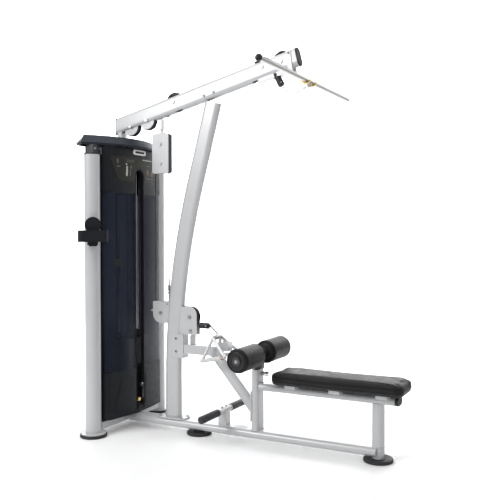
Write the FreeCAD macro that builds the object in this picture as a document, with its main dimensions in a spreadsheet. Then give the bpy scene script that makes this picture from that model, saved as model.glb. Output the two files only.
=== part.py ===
"""Lat pulldown machine with a low row station, built as a bench of separate pieces.

Lengths are in millimetres and angles in degrees. X runs from the weight tower to the seat, Y across the
machine and Z up. Positions in the sheet are measured from the tower's axis and from the floor; the cell
tower_x moves the whole machine so that the origin lies under the middle of its box.
"""
import FreeCAD, Part
import math
import os
import re

import Sketcher
from FreeCAD import Placement, Rotation, Vector

os.makedirs("parts", exist_ok=True)
doc = FreeCAD.newDocument("LatPulldown")
sheet = doc.addObject("Spreadsheet::Sheet", "Dims")

DIMENSIONS = {
    # whole machine
    "tower_x": -827.5,
    "wall": 3,
    "bolt_head_dia": 17,
    "bolt_head_thick": 7,
    # feet
    "foot_dia": 156,
    "pad_thick": 18,
    "foot_plate_dia": 142,
    "foot_plate_thick": 6,
    "mid_foot_x": 520,
    # weight tower
    "upright_y": 327,
    "upright_dia": 90,
    "upright_top": 1634,
    "cap_lip": 6,
    "cross_wide": 60,
    "cross_tall": 40,
    "base_cross_z": 34,
    "head_cross_z": 1640,
    # base beam, flat oval
    "beam_wide": 100,
    "beam_tall": 46,
    "beam_z": 54,
    "beam_start": 30,
    "rear_post_x": 1606,
    # mast
    "mast_x": 342,
    "mast_foot_z": 85,
    "mast_long": 104,
    "mast_short": 52,
    "mast_straight": 226,
    "mast_radius": 4443,
    "mast_lean": 15,
    "mast_last": 490,
    "mast_plate_long": 190,
    "mast_plate_wide": 96,
    "mast_plate_thick": 8,
    # boom
    "boom_slope": 13.77,
    "boom_tall": 104,
    "boom_wide": 52,
    "boom_under_z": 1799,
    "boom_rear_x": -62,
    "boom_front_x": 1160,
    # pulleys
    "pulley_dia": 114,
    "pulley_wide": 22,
    "groove_centre": 53.5,
    "groove_cut": 8.2,
    "cable_line": 48,
    "cable_dia": 4.8,
    "bearing_dia": 35,
    "bearing_wide": 18,
    "bearing_play": 0.05,
    "axle_dia": 12,
    "tower_pulley_x": 48,
    "tower_pulley_z": 1830,
    "second_pulley_x": 166,
    "second_pulley_z": 1860,
    "boom_pulley_x": 358,
    "boom_pulley_z": 1954,
    "nose_pulley_x": 942,
    "nose_pulley_z": 2099,
    "front_pulley_x": 1057,
    "front_pulley_z": 2116,
    "low_rear_x": 262,
    "low_rear_z": 704,
    "low_front_x": 466,
    "low_front_z": 689,
    "guide_x": 472,
    "guide_z": 608,
    "guide_dia": 46,
    "guide_wide": 20,
    # floating block
    "block_x": 262,
    "block_upper_z": 1714,
    "block_lower_z": 1598,
    "block_plate_wide": 116,
    "block_plate_tall": 236,
    "plate_thick": 5,
    "plate_gap": 30,
    # row cable anchor
    "ear_x": 310,
    "ear_z": 758,
    "adjuster_top": 905,
    # weight stack
    "stack_deep": 110,
    "stack_wide": 300,
    "plate_pitch": 25.4,
    "plate_play": 0.6,
    "stack_base": 120,
    "plate_count": 15,
    "head_thick": 32,
    "rod_y": 95,
    "rod_dia": 25,
    "rod_play": 1,
    "rod_foot": 74,
    "selector_dia": 22,
    "selector_hole": 24,
    "pin_dia": 9,
    "pin_hole": 9.1,
    "pin_plate": 2,
    # tower covers
    "cover_half": 278,
    "cover_front": 96,
    "bow_radius": 1090,
    "cover_rear": -88,
    "cover_thick": 4,
    "cover_corner": 42,
    "lower_cover_z": 84,
    "window_z": 358,
    "upper_cover_z": 1422,
    "upper_cover_top": 1690,
    "window_inset": 3,
    "slot_wide": 86,
    "slot_top": 1525,
    "cap_half": 385,
    "cap_front": 130,
    "cap_rear": -110,
    "cap_bow": 545,
    "cap_under": 1692,
    "cap_thick": 58,
    "cap_slope": 40,
    # accessory holder
    "holder_z": 1165,
    "tray_long": 128,
    "tray_deep": 62,
    "tray_tall": 66,
    "disc_dia": 92,
    # row arm, strut and rest
    "arm_z": 498,
    "arm_tall": 54,
    "arm_wide": 50,
    "arm_end": 672,
    "strut_long": 62,
    "strut_short": 40,
    # seat
    "post_x": 905,
    "post_long": 90,
    "post_short": 46,
    "post_top": 420,
    "rail_z": 324,
    "rail_wide": 80,
    "rail_tall": 40,
    "rail_end": 1702,
    "rear_post_dia": 64,
    "seat_start": 1022,
    "seat_end": 1765,
    "seat_wide": 236,
    "seat_under": 364,
    "seat_thick": 66,
    "seat_corner": 48,
    "seat_edge": 14,
    # thigh rollers
    "roller_x": 922,
    "roller_z": 507,
    "roller_dia": 130,
    "roller_gap": 56,
    "roller_end": 280,
    "roller_bore": 26,
    "shaft_dia": 25.9,
    "stem_dia": 34,
    # foot bar
    "foot_bar_x": 688,
    "foot_bar_z": 160,
    "foot_bar_dia": 34,
    "foot_bar_half": 257,
    "sleeve_dia": 42,
    "sleeve_inner": 74,
    # lat bar
    "bar_x": 1214,
    "bar_z": 1997,
    "bar_dia": 27,
    "bar_half": 600,
    "ball_dia": 36,
    "hook_y": 44,
    "hook_wire": 11,
    # row handle
    "handle_dia": 23,
}

for row, (alias, value) in enumerate(DIMENSIONS.items(), start=1):
    sheet.set("A%d" % row, alias)
    sheet.set("B%d" % row, str(value))
    sheet.setAlias("B%d" % row, alias)
doc.recompute()

ALONG_X = (Vector(0, 1, 0), 90)
ALONG_Y = (Vector(1, 0, 0), -90)
UPRIGHT = (Vector(0, 0, 1), 0)
WORD = re.compile(r"[a-z][a-z0-9_]*")
pieces = []


def dim(alias):
    """The sheet's number for one alias, for shapes that are set in code."""
    return float(sheet.get(alias))


def bind(obj, prop, text):
    """Bind a property to an expression, where a dimension is written as its bare alias."""
    def cell(match):
        return "Dims." + match.group() if match.group() in DIMENSIONS else match.group()
    obj.setExpression(prop, WORD.sub(cell, str(text)))


def locate(obj, at, turn=UPRIGHT):
    """Put an object at three expressions, turned about one axis by an angle that may be an expression."""
    axis, angle = turn
    if isinstance(angle, str):
        obj.Placement = Placement(Vector(), Rotation(axis, 1))
        bind(obj, "Placement.Rotation.Angle", angle)
    else:
        obj.Placement = Placement(Vector(), Rotation(axis, angle))
    bind(obj, "Placement.Base.x", "tower_x + (%s)" % at[0])
    bind(obj, "Placement.Base.y", at[1])
    bind(obj, "Placement.Base.z", at[2])
    return obj


def solid(kind, name, at, turn=UPRIGHT, **sizes):
    """One Part primitive with its sizes and place bound to the sheet."""
    obj = doc.addObject("Part::" + kind, name)
    for prop, text in sizes.items():
        bind(obj, prop, text)
    return locate(obj, at, turn)


def box(name, centre, size):
    """A block given by its centre and its three sizes."""
    corner = ["(%s) - (%s)/2" % pair for pair in zip(centre, size)]
    return solid("Box", name, corner, Length=size[0], Width=size[1], Height=size[2])


def rod_y(name, x, z, dia, low, high):
    """A cylinder along Y between two expressions."""
    return solid("Cylinder", name, (x, low, z), ALONG_Y, Radius="(%s)/2" % dia,
                 Height="(%s) - (%s)" % (high, low))


def rod_z(name, x, y, dia, low, high):
    """A cylinder along Z between two expressions."""
    return solid("Cylinder", name, (x, y, low), Radius="(%s)/2" % dia, Height="(%s) - (%s)" % (high, low))


def rod_x(name, y, z, dia, low, high):
    """A cylinder along X between two expressions."""
    return solid("Cylinder", name, (low, y, z), ALONG_X, Radius="(%s)/2" % dia,
                 Height="(%s) - (%s)" % (high, low))


def fuse(name, shapes):
    """Solids joined, or grouped where they lie apart."""
    obj = doc.addObject("Part::MultiFuse", name)
    obj.Shapes = shapes
    obj.Refine = True
    return obj


def group(name, shapes):
    """Separate solids kept apart in one object."""
    obj = doc.addObject("Part::Compound", name)
    obj.Links = shapes
    return obj


def cut(name, base, tools):
    """A base with one or more tools taken away."""
    obj = doc.addObject("Part::Cut", name)
    obj.Base = base
    obj.Tool = tools[0] if len(tools) == 1 else group(name + "_tools", tools)
    return obj


def common(name, first, second):
    obj = doc.addObject("Part::Common", name)
    obj.Base = first
    obj.Tool = second
    return obj


def rounded(name, base, radius, choose):
    """Fillet the edges of a base that the test function picks."""
    doc.recompute()
    picked = [(n, radius, radius) for n, edge in enumerate(base.Shape.Edges, start=1) if choose(edge)]
    obj = doc.addObject("Part::Fillet", name)
    obj.Base = base
    obj.Edges = picked
    return obj


def runs_along(axis):
    """A test for straight edges parallel to an axis."""
    def test(edge):
        ends = [v.Point for v in edge.Vertexes]
        if len(ends) < 2 or not isinstance(edge.Curve, Part.Line):
            return False
        return abs((ends[1] - ends[0]).normalize().dot(axis)) > 0.999
    return test


def keep(label, obj):
    """Name a finished sub-part. The label is its file's name."""
    obj.Label = label
    pieces.append(obj)
    return obj


def shaped(label, shape):
    """A sub-part whose shape is made in code from the sheet's numbers, then placed."""
    obj = doc.addObject("Part::Feature", label + "_shape")
    obj.Shape = shape
    obj.Placement = Placement(Vector(dim("tower_x"), 0, 0), Rotation()).multiply(shape.Placement)
    return keep(label, obj)


def round_tube(name, place, dia, length, turn=UPRIGHT, wall="wall"):
    """A round tube from its lower end."""
    outer = solid("Cylinder", name + "_outer", place, turn, Radius="(%s)/2" % dia, Height=length)
    inner = solid("Cylinder", name + "_inner", place, turn, Radius="(%s)/2 - %s" % (dia, wall), Height=length)
    return cut(name, outer, [inner])


def slot_loop(sketch, tag, half_gap, radius):
    """A closed loop of two straight sides and two round ends, long side along the sketch's X."""
    gap, rad = 30.0, 20.0
    normal = Vector(0, 0, 1)
    quarter = math.pi / 2
    right = sketch.addGeometry(Part.ArcOfCircle(Part.Circle(Vector(gap, 0, 0), normal, rad), -quarter,
                                                quarter))
    top = sketch.addGeometry(Part.LineSegment(Vector(gap, rad, 0), Vector(-gap, rad, 0)))
    left = sketch.addGeometry(Part.ArcOfCircle(Part.Circle(Vector(-gap, 0, 0), normal, rad), quarter,
                                               3 * quarter))
    low = sketch.addGeometry(Part.LineSegment(Vector(-gap, -rad, 0), Vector(gap, -rad, 0)))
    ring = [right, top, left, low]
    for here, after in zip(ring, ring[1:] + ring[:1]):
        sketch.addConstraint(Sketcher.Constraint("Tangent", here, 2, after, 1))
    for arc in (right, left):
        sketch.addConstraint(Sketcher.Constraint("PointOnObject", arc, 3, -1))
    for arc, side, sign in ((right, "right", 1), (left, "left", -1)):
        reach = sketch.addConstraint(Sketcher.Constraint("DistanceX", -1, 1, arc, 3, sign * gap))
        sketch.renameConstraint(reach, tag + "_" + side)
        bind(sketch, "Constraints.%s_%s" % (tag, side), "%d * (%s)" % (sign, half_gap))
    size = sketch.addConstraint(Sketcher.Constraint("Radius", right, rad))
    sketch.renameConstraint(size, tag + "_radius")
    bind(sketch, "Constraints.%s_radius" % tag, radius)
    sketch.addConstraint(Sketcher.Constraint("Equal", right, left))


def plane_of(body, role):
    for feature in body.Origin.OriginFeatures:
        if feature.Role == role:
            return feature
    raise RuntimeError("no plane " + role)


def oval_profile(body, name, long_side, short_side, wall):
    """A sketch on the body's XY plane: a flat oval outline, with its inner wall if it has one."""
    sketch = body.newObject("Sketcher::SketchObject", name)
    sketch.AttachmentSupport = [(plane_of(body, "XY_Plane"), "")]
    sketch.MapMode = "FlatFace"
    half_gap = "((%s) - (%s))/2" % (long_side, short_side)
    slot_loop(sketch, "outer", half_gap, "(%s)/2" % short_side)
    if wall:
        slot_loop(sketch, "inner", half_gap, "(%s)/2 - %s" % (short_side, wall))
    return sketch


def oval_tube(name, long_side, short_side, length, wall="wall"):
    """A straight flat oval tube along its body's Z, long side along its X."""
    body = doc.addObject("PartDesign::Body", name)
    sketch = oval_profile(body, name + "_profile", long_side, short_side, wall)
    doc.recompute()
    pad = body.newObject("PartDesign::Pad", name + "_pad")
    pad.Profile = sketch
    bind(pad, "Length", length)
    sketch.Visibility = False
    return body


def turned(obj, rotation, at):
    """Give a body a full rotation and bind its place."""
    obj.Placement = Placement(Vector(), rotation)
    for axis, text in zip("xyz", at):
        bind(obj, "Placement.Base." + axis, ("tower_x + (%s)" % text) if axis == "x" else text)
    return obj


# lays a body's Z axis along the machine's X, with the oval's long side flat
FLAT_ALONG_X = Rotation(Vector(0, 1, 0), Vector(0, 0, 1), Vector(1, 0, 0), "ZXY")

# ---------------------------------------------------------------- tower frame
for side, sign in (("near", "-"), ("far", "")):
    keep(side + "_upright",
         round_tube(side + "_upright_tube", ("0", sign + "upright_y", "pad_thick + foot_plate_thick"),
                    "upright_dia", "upright_top - pad_thick - foot_plate_thick"))

upright_caps = []
for side, sign in (("near", "-"), ("far", "")):
    lid = rod_z(side + "_cap_lid", "0", sign + "upright_y", "upright_dia + 2", "upright_top",
                "upright_top + cap_lip")
    plug = rod_z(side + "_cap_plug", "0", sign + "upright_y", "upright_dia - 2*wall", "upright_top - 20",
                 "upright_top")
    upright_caps.append(fuse(side + "_cap", [lid, plug]))

cross_span = "2*upright_y - upright_dia + 6"
base_cross = box("base_cross_bar", ("0", "0", "base_cross_z + cross_tall/2"),
                 ("cross_wide", cross_span, "cross_tall"))
head_cross = box("head_cross_bar", ("-10", "0", "head_cross_z + cross_tall/2"),
                 ("cross_wide + 20", "2*cover_half", "cross_tall"))
head_ears = []
for side, sign in (("near", "-1"), ("far", "1")):
    centre = ("0", sign + "*(upright_y - 26)", "(upright_top + cap_lip + cap_under)/2")
    head_ears.append(box(side + "_head_ear", centre, ("50", "90", "cap_under - upright_top - cap_lip")))
upright_bores = [rod_z(side + "_weld_face", "0", sign + "upright_y", "upright_dia", "20", "120")
                 for side, sign in (("near", "-"), ("far", ""))]
cable_way = rod_z("head_cable_hole", "0", "0", "22", "head_cross_z - 1", "head_cross_z + cross_tall + 1")
head_rods = [rod_z("head_rod_hole_%d" % n, "0", sign + "rod_y", "rod_dia", "head_cross_z - 1",
                   "head_cross_z + cross_tall + 1") for n, sign in enumerate(("-", ""))]
ear_cut = box("ear_cut", ("-10", "0", "head_cross_z + cross_tall/2"),
              ("cross_wide + 20", "2*cover_half", "cross_tall"))
head_post = box("boom_stand_block", ("-36", "0", "(head_cross_z + cross_tall + boom_under_z + 6)/2"),
                ("28", "44", "boom_under_z + 6 - head_cross_z - cross_tall"))

# ---------------------------------------------------------------- base beam and seat frame
beam = turned(oval_tube("base_beam_tube", "beam_wide", "beam_tall", "rear_post_x - beam_start"), FLAT_ALONG_X,
              ("beam_start", "0", "beam_z"))
rear_bite = rod_z("beam_rear_bite", "rear_post_x", "0", "rear_post_dia", "beam_z - beam_tall",
                  "beam_z + beam_tall")
cross_bite = box("beam_cross_bite", ("0", "0", "beam_z"), ("cross_wide", "2*beam_wide", "3*beam_tall"))
keep("base_beam", cut("base_beam_cut", beam, [rear_bite, cross_bite]))

rear_tube = round_tube("rear_post_tube", ("rear_post_x", "0", "pad_thick"), "rear_post_dia",
                       "rail_z - rail_tall/2 - pad_thick")
keep("rear_post", rear_tube)

front_post_turn = Rotation(Vector(0, 1, 0), Vector(-1, 0, 0), Vector(0, 0, 1), "ZXY")
front_post = turned(oval_tube("front_post_tube", "post_long", "post_short",
                              "post_top - beam_z - beam_tall/2"),
                    front_post_turn, ("post_x", "0", "beam_z + beam_tall/2"))
pin_height = "post_top - 24"
pin_face = "post_x + post_short/2"
pop_hole = rod_x("pop_pin_hole", "0", pin_height, "9.2", pin_face + " - 10", pin_face + " + 40")
keep("front_post", cut("front_post_drilled", front_post, [pop_hole]))

rail = turned(oval_tube("seat_rail_tube", "rail_wide", "rail_tall",
                        "rail_end - post_x - post_short/2"), FLAT_ALONG_X,
                        ("post_x + post_short/2", "0", "rail_z"))
seat_plates = [box("seat_plate_%d" % n, ("seat_start + %s*(seat_end - seat_start)" % part_way, "0",
                                         "(rail_z + rail_tall/2 + seat_under)/2"),
                   ("60", "seat_wide - 60", "seat_under - rail_z - rail_tall/2"))
               for n, part_way in enumerate(("0.16", "0.5", "0.84"))]
keep("seat_rail", group("seat_rail_set", [rail] + seat_plates))

# ---------------------------------------------------------------- mast
def mast_path_sketch(body, name):
    """Straight foot, long bend and straight top, in the body's XZ plane."""
    path = body.newObject("Sketcher::SketchObject", name)
    path.AttachmentSupport = [(plane_of(body, "XZ_Plane"), "")]
    path.MapMode = "FlatFace"
    rise, radius, last = dim("mast_straight"), dim("mast_radius"), dim("mast_last")
    lean = math.radians(dim("mast_lean"))
    bend_end = Vector(radius * (1 - math.cos(lean)), rise + radius * math.sin(lean), 0)
    top = bend_end + Vector(math.sin(lean), math.cos(lean), 0) * last
    circle = Part.Circle(Vector(radius, rise, 0), Vector(0, 0, 1), radius)
    path.addGeometry(Part.LineSegment(Vector(0, 0, 0), Vector(0, rise, 0)))
    path.addGeometry(Part.ArcOfCircle(circle, math.pi - lean, math.pi))
    path.addGeometry(Part.LineSegment(bend_end, top))
    path.addConstraint(Sketcher.Constraint("Coincident", 0, 1, -1, 1))
    path.addConstraint(Sketcher.Constraint("Vertical", 0))
    path.addConstraint(Sketcher.Constraint("Tangent", 0, 2, 1, 2))
    path.addConstraint(Sketcher.Constraint("Tangent", 1, 1, 2, 1))
    for tag, kind, edge, value in (("straight", "Distance", 0, rise), ("bend", "Radius", 1, radius),
                                   ("last", "Distance", 2, last)):
        index = path.addConstraint(Sketcher.Constraint(kind, edge, value))
        path.renameConstraint(index, tag)
        bind(path, "Constraints." + tag, {"bend": "mast_radius"}.get(tag, "mast_" + tag))
    return path


def mast_pipe(name, wall):
    """The mast's flat oval swept along its path, hollow or, with no wall, as a solid form."""
    body = doc.addObject("PartDesign::Body", name)
    profile = oval_profile(body, name + "_profile", "mast_long", "mast_short", wall)
    path = mast_path_sketch(body, name + "_path")
    doc.recompute()
    pipe = body.newObject("PartDesign::AdditivePipe", name + "_sweep")
    pipe.Profile = profile
    pipe.Spine = (path, ["Edge1", "Edge2", "Edge3"])
    return turned(body, Rotation(), ("mast_x", "0", "mast_foot_z"))


mast_tube = mast_pipe("mast_tube", "wall")
mast_form = mast_pipe("mast_form", None)
cable_hole = rod_x("mast_cable_hole", "0", "low_front_z - cable_line + 6", "22", "mast_x - 60", "mast_x + 90")
pulley_pocket = box("mast_pulley_pocket", ("mast_x - 46", "0", "low_rear_z - 4"),
                    ("50", "pulley_wide + 8", "130"))
front_pocket = box("mast_front_pocket", ("low_front_x - 28", "0", "low_front_z"),
                   ("60", "pulley_wide + 8", "124"))


def boom_direction():
    """The boom's axis and its upward normal, from the slope in the sheet."""
    slope = math.radians(dim("boom_slope"))
    return Vector(math.cos(slope), 0, math.sin(slope)), Vector(-math.sin(slope), 0, math.cos(slope))


axis, normal = boom_direction()
BOOM_TURN = Rotation(normal, Vector(0, -1, 0), axis, "ZXY")


def boom_place(back, lift="boom_tall/2"):
    """A point on the boom's line, started a little behind an X and raised along its normal."""
    return ("%s - (%s)*sin(boom_slope)" % (back, lift), "0",
            "boom_under_z + (%s)*tan(boom_slope) + (%s)*cos(boom_slope)" % (back, lift))


boom_tube = turned(oval_tube("boom_tube", "boom_tall", "boom_wide",
                             "(boom_front_x - boom_rear_x + 40)/cos(boom_slope)"),
                   BOOM_TURN, boom_place("boom_rear_x - 40"))
boom_form = turned(oval_tube("boom_form", "boom_tall", "boom_wide",
                             "(boom_front_x - boom_rear_x + 40)/cos(boom_slope)",
                             None), BOOM_TURN, boom_place("boom_rear_x - 40"))
keep("mast", cut("mast_cut", mast_tube, [cable_hole, pulley_pocket, front_pocket, boom_form]))
mast_plate = rounded("mast_foot_plate",
                     box("mast_plate_block", ("mast_x", "0", "mast_foot_z - mast_plate_thick/2"),
                         ("mast_plate_long", "mast_plate_wide", "mast_plate_thick")),
                     30, runs_along(Vector(0, 0, 1)))
foot_plates = [rod_z(side + "_foot_plate", "0", sign + "upright_y", "foot_plate_dia", "pad_thick",
                     "pad_thick + foot_plate_thick") for side, sign in (("near", "-"), ("far", ""))]
keep("foot_plates", group("foot_plate_set", foot_plates + [mast_plate]))

foot_pads = []
for spot, x, y, dia, top in (("near", "0", "-upright_y", "foot_dia", "pad_thick"),
                             ("far", "0", "upright_y", "foot_dia", "pad_thick"),
                             ("mid", "mid_foot_x", "0", "foot_dia - 8", "pad_thick"),
                             ("rear", "rear_post_x", "0", "foot_dia", "pad_thick")):
    disc = rod_z(spot + "_pad_disc", x, y, dia, "0", top)
    foot_pads.append(rounded(spot + "_pad", disc, 5, lambda edge: isinstance(edge.Curve, Part.Circle)))
foot_pads.append(rod_z("mid_pad_stem", "mid_foot_x", "0", "64", "pad_thick", "beam_z - beam_tall/2"))
keep("foot_pads", group("foot_pad_set", foot_pads))

# ---------------------------------------------------------------- boom
BOOM_PULLEYS = ("tower_pulley", "second_pulley", "boom_pulley", "nose_pulley", "front_pulley")
LOW_PULLEYS = ("low_rear", "low_front")


def window_for(name, x, low, high, size="pulley_dia + 8"):
    """A slot through the boom's walls for a pulley, between two heights."""
    return solid("Box", name, ("%s - (%s)/2" % (x, size), "-18", low), Length=size, Width="36",
                 Height="(%s) - (%s)" % (high, low))


boom_cuts = [box("boom_end_trim", ("boom_rear_x - 200", "0", "boom_under_z"), ("400", "200", "400"))]
for name in BOOM_PULLEYS:
    low = "%s_z - 100" % name if name != "boom_pulley" else "boom_pulley_z - 58"
    high = "%s_z + 60" % name if name in ("tower_pulley", "second_pulley") else "%s_z + 110" % name
    boom_cuts.append(window_for(name + "_window", name + "_x", low, high))
    boom_cuts.append(rod_y(name + "_axle_hole", name + "_x", name + "_z", "axle_dia", "-boom_wide",
                           "boom_wide"))
boom_cuts.append(rod_z("boom_cable_hole", "boom_pulley_x - cable_line", "0", "24", "boom_pulley_z - 120",
                       "boom_pulley_z"))
keep("boom", cut("boom_cut", boom_tube, boom_cuts))
keep("tower_crossbars", group("crossbars", [
    cut("base_cross", base_cross, upright_bores),
    cut("head_cross", head_cross, [cable_way] + head_rods),
    cut("head_ear_plates", group("head_ears", head_ears), [ear_cut]),
    cut("boom_stand", head_post, [boom_form])]))

side_plates = []
for name in ("tower_pulley", "second_pulley"):
    for side, low in (("near", "-17"), ("far", "12.6")):
        disc = rod_y("%s_%s_cheek" % (name, side), name + "_x - 3", name + "_z", "104", low,
                     "(%s) + 4.4" % low)
        hole = rod_y("%s_%s_cheek_hole" % (name, side), name + "_x", name + "_z", "axle_dia", "-30", "30")
        side_plates.append(cut("%s_%s_plate" % (name, side), disc, [hole]))
for side, low in (("near", "-boom_wide/2 - 5"), ("far", "boom_wide/2")):
    strip = solid("Box", side + "_hanger_strip", ("1106", low, "2046"), (Vector(0, 1, 0), -8), Length="26",
                  Width="5", Height="124")
    side_plates.append(cut(side + "_hanger", strip, [rod_y(side + "_hanger_seat", "1128", "2046", "14", "-60",
                                                           "60")]))

# ---------------------------------------------------------------- pulleys, axles and bearings
def pulley(label, x, z):
    """A grooved wheel with a bearing bore and a recess in each face."""
    wheel = rod_y(label + "_wheel", x, z, "pulley_dia", "-pulley_wide/2", "pulley_wide/2")
    groove = solid("Torus", label + "_groove", (x, "0", z), ALONG_Y, Radius1="groove_centre",
                   Radius2="groove_cut")
    bore = rod_y(label + "_bore", x, z, "bearing_dia + 2*bearing_play", "-pulley_wide", "pulley_wide")
    tools = [groove, bore]
    for side, low, high in (("near", "-pulley_wide", "-pulley_wide/2 + 5"),
                            ("far", "pulley_wide/2 - 5", "pulley_wide")):
        rim = rod_y("%s_%s_dish" % (label, side), x, z, "82", low, high)
        hub = rod_y("%s_%s_hub" % (label, side), x, z, "50", low, high)
        tools.append(cut("%s_%s_recess" % (label, side), rim, [hub]))
    return keep(label, cut(label + "_turned", wheel, tools))


def bearing(name, x, z):
    ring = rod_y(name + "_ring", x, z, "bearing_dia", "-bearing_wide/2", "bearing_wide/2")
    return cut(name, ring, [rod_y(name + "_eye", x, z, "axle_dia", "-bearing_wide", "bearing_wide")])


def axle_bolt(name, x, z, reach):
    """A shank through both side walls with a head on one side and a nut on the other."""
    shank = rod_y(name + "_shank", x, z, "axle_dia", "-(%s)" % reach, reach)
    head = rod_y(name + "_head", x, z, "bolt_head_dia + 3", "-(%s) - bolt_head_thick" % reach,
                 "-(%s)" % reach)
    nut = rod_y(name + "_nut", x, z, "bolt_head_dia + 3", reach, "(%s) + bolt_head_thick" % reach)
    return fuse(name, [shank, head, nut])


pulley("tower_pulley_rear", "tower_pulley_x", "tower_pulley_z")
pulley("tower_pulley_front", "second_pulley_x", "second_pulley_z")
pulley("boom_pulley", "boom_pulley_x", "boom_pulley_z")
pulley("nose_pulley_rear", "nose_pulley_x", "nose_pulley_z")
pulley("nose_pulley_front", "front_pulley_x", "front_pulley_z")
pulley("low_pulley_rear", "low_rear_x", "low_rear_z")
pulley("low_pulley_front", "low_front_x", "low_front_z")
pulley("block_pulley_upper", "block_x", "block_upper_z")
pulley("block_pulley_lower", "block_x", "block_lower_z")

axles = [axle_bolt(name + "_axle", name + "_x", name + "_z", "boom_wide/2") for name in BOOM_PULLEYS]
axles += [axle_bolt(name + "_axle", name + "_x", name + "_z", "plate_gap/2 + plate_thick")
          for name in LOW_PULLEYS]
axles.append(axle_bolt("guide_axle", "guide_x", "guide_z", "plate_gap/2 + plate_thick"))
axles += [bearing(name + "_bearing", name + "_x", name + "_z") for name in BOOM_PULLEYS + LOW_PULLEYS]
keep("pulley_axles", group("pulley_axle_set", axles))
guide = rod_y("guide_wheel", "guide_x", "guide_z", "guide_dia", "-guide_wide/2", "guide_wide/2")
keep("guide_roller", cut("guide_turned", guide, [rod_y("guide_bore", "guide_x", "guide_z",
                                                       "axle_dia + 2*bearing_play", "-guide_wide",
                                                       "guide_wide")]))

# ---------------------------------------------------------------- floating block
block_mid = "(block_upper_z + block_lower_z)/2"
block_parts = []
for side, low in (("near", "-plate_gap/2 - plate_thick"), ("far", "plate_gap/2")):
    sheet_metal = solid("Box", side + "_block_blank",
                        ("block_x - block_plate_wide/2", low, block_mid + " - block_plate_tall/2"),
                        Length="block_plate_wide", Width="plate_thick", Height="block_plate_tall")
    face = rounded(side + "_block_face", sheet_metal, 14, runs_along(Vector(0, 1, 0)))
    holes = [rod_y("%s_block_hole_%s" % (side, end), "block_x", "block_%s_z" % end, "axle_dia", "-60", "60")
             for end in ("upper", "lower")]
    block_parts.append(cut(side + "_block_plate", face, holes))
for end in ("upper", "lower"):
    block_parts.append(axle_bolt("block_%s_axle" % end, "block_x", "block_%s_z" % end,
                                 "plate_gap/2 + plate_thick"))
    block_parts.append(bearing("block_%s_bearing" % end, "block_x", "block_%s_z" % end))
bridge_z = block_mid + " + block_plate_tall/2 + 2.5"
block_parts.append(box("block_bridge", ("block_x", "0", bridge_z), ("50", "plate_gap + 2*plate_thick", "5")))
block_parts.append(rod_z("block_stop_disc", "block_x", "0", "27", bridge_z + " + 2.5", bridge_z + " + 6.5"))
keep("floating_block", group("floating_block_set", block_parts))

bumper_top = "boom_under_z + block_x*tan(boom_slope) - 3"
bumper_low = block_mid + " + block_plate_tall/2 + 12"
bumper_body = rod_z("bumper_body", "block_x", "0", "26", bumper_low + " + 16", bumper_top)
bumper_tip = solid("Cone", "bumper_tip", ("block_x", "0", bumper_low), Radius1="5", Radius2="13", Height="16")
bumpers = [cut("block_bumper", fuse("block_bumper_whole", [bumper_body, bumper_tip]), [boom_form])]
for n, sign in enumerate(("-", "")):
    ring = rod_z("rod_bumper_%d_ring" % n, "0", sign + "rod_y", "52", "rod_foot", "stack_base - 0.4")
    bumpers.append(cut("rod_bumper_%d" % n, ring,
                       [rod_z("rod_bumper_%d_eye" % n, "0", sign + "rod_y", "rod_dia", "0", "200")]))

# ---------------------------------------------------------------- low pulley brackets
def bracket_plate(name, low, corner, size, round_edge, radius):
    """One bracket cheek: a plate in the XZ plane with one large rounded corner."""
    blank = solid("Box", name + "_blank", (corner[0], low, corner[1]), Length=size[0], Width="plate_thick",
                  Height=size[1])
    doc.recompute()
    tower = dim("tower_x")
    picked = []
    for n, edge in enumerate(blank.Shape.Edges, start=1):
        if runs_along(Vector(0, 1, 0))(edge):
            middle = edge.CenterOfMass
            near_round = abs(middle.x - tower - round_edge[0]) < 2 and abs(middle.z - round_edge[1]) < 2
            size_here = radius if near_round else 7
            picked.append((n, size_here, size_here))
    obj = doc.addObject("Part::Fillet", name)
    obj.Base = blank
    obj.Edges = picked
    return obj


bracket_parts = []
for side, low in (("near", "-plate_gap/2 - plate_thick"), ("far", "plate_gap/2")):
    rear = bracket_plate(side + "_rear_cheek", low, ("low_rear_x - 56", "low_rear_z - 60"), ("128", "128"),
                         (dim("low_rear_x") - 56, dim("low_rear_z") - 60), 52)
    rear_holes = [rod_y(side + "_rear_axle_hole", "low_rear_x", "low_rear_z", "axle_dia", "-60", "60"),
                  rod_y(side + "_ear_hole", "ear_x", "ear_z", "9", "-60", "60"), mast_form]
    bracket_parts.append(cut(side + "_rear_bracket", rear, rear_holes))
    front = bracket_plate(side + "_front_cheek", low, ("low_front_x - 70", "guide_z - 24"), ("118", "164"),
                          (dim("low_front_x") + 48, dim("guide_z") + 140), 50)
    front_holes = [rod_y(side + "_front_axle_hole", "low_front_x", "low_front_z", "axle_dia", "-60", "60"),
                   rod_y(side + "_guide_axle_hole", "guide_x", "guide_z", "axle_dia", "-60", "60"), mast_form]
    bracket_parts.append(cut(side + "_front_bracket", front, front_holes))
bracket_parts.append(rod_y("rear_retainer", "low_rear_x - 61", "low_rear_z + 12", "8",
                           "-plate_gap/2 - plate_thick - 6",
                           "plate_gap/2 + plate_thick + 6"))
keep("low_pulley_brackets", group("low_bracket_set", bracket_parts))

# ---------------------------------------------------------------- cables
CABLE = dim("cable_dia") / 2
LINE = dim("cable_line")
UP = Vector(0, 0, 1)
AHEAD = Vector(1, 0, 0)


def at(name):
    """The centre of a pulley in the middle plane."""
    return Vector(dim(name + "_x"), 0, dim(name + "_z"))


def over(direction):
    """The left-hand normal of a direction in the XZ plane, which points up when it runs ahead."""
    return Vector(-direction.z, 0, direction.x)


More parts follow.
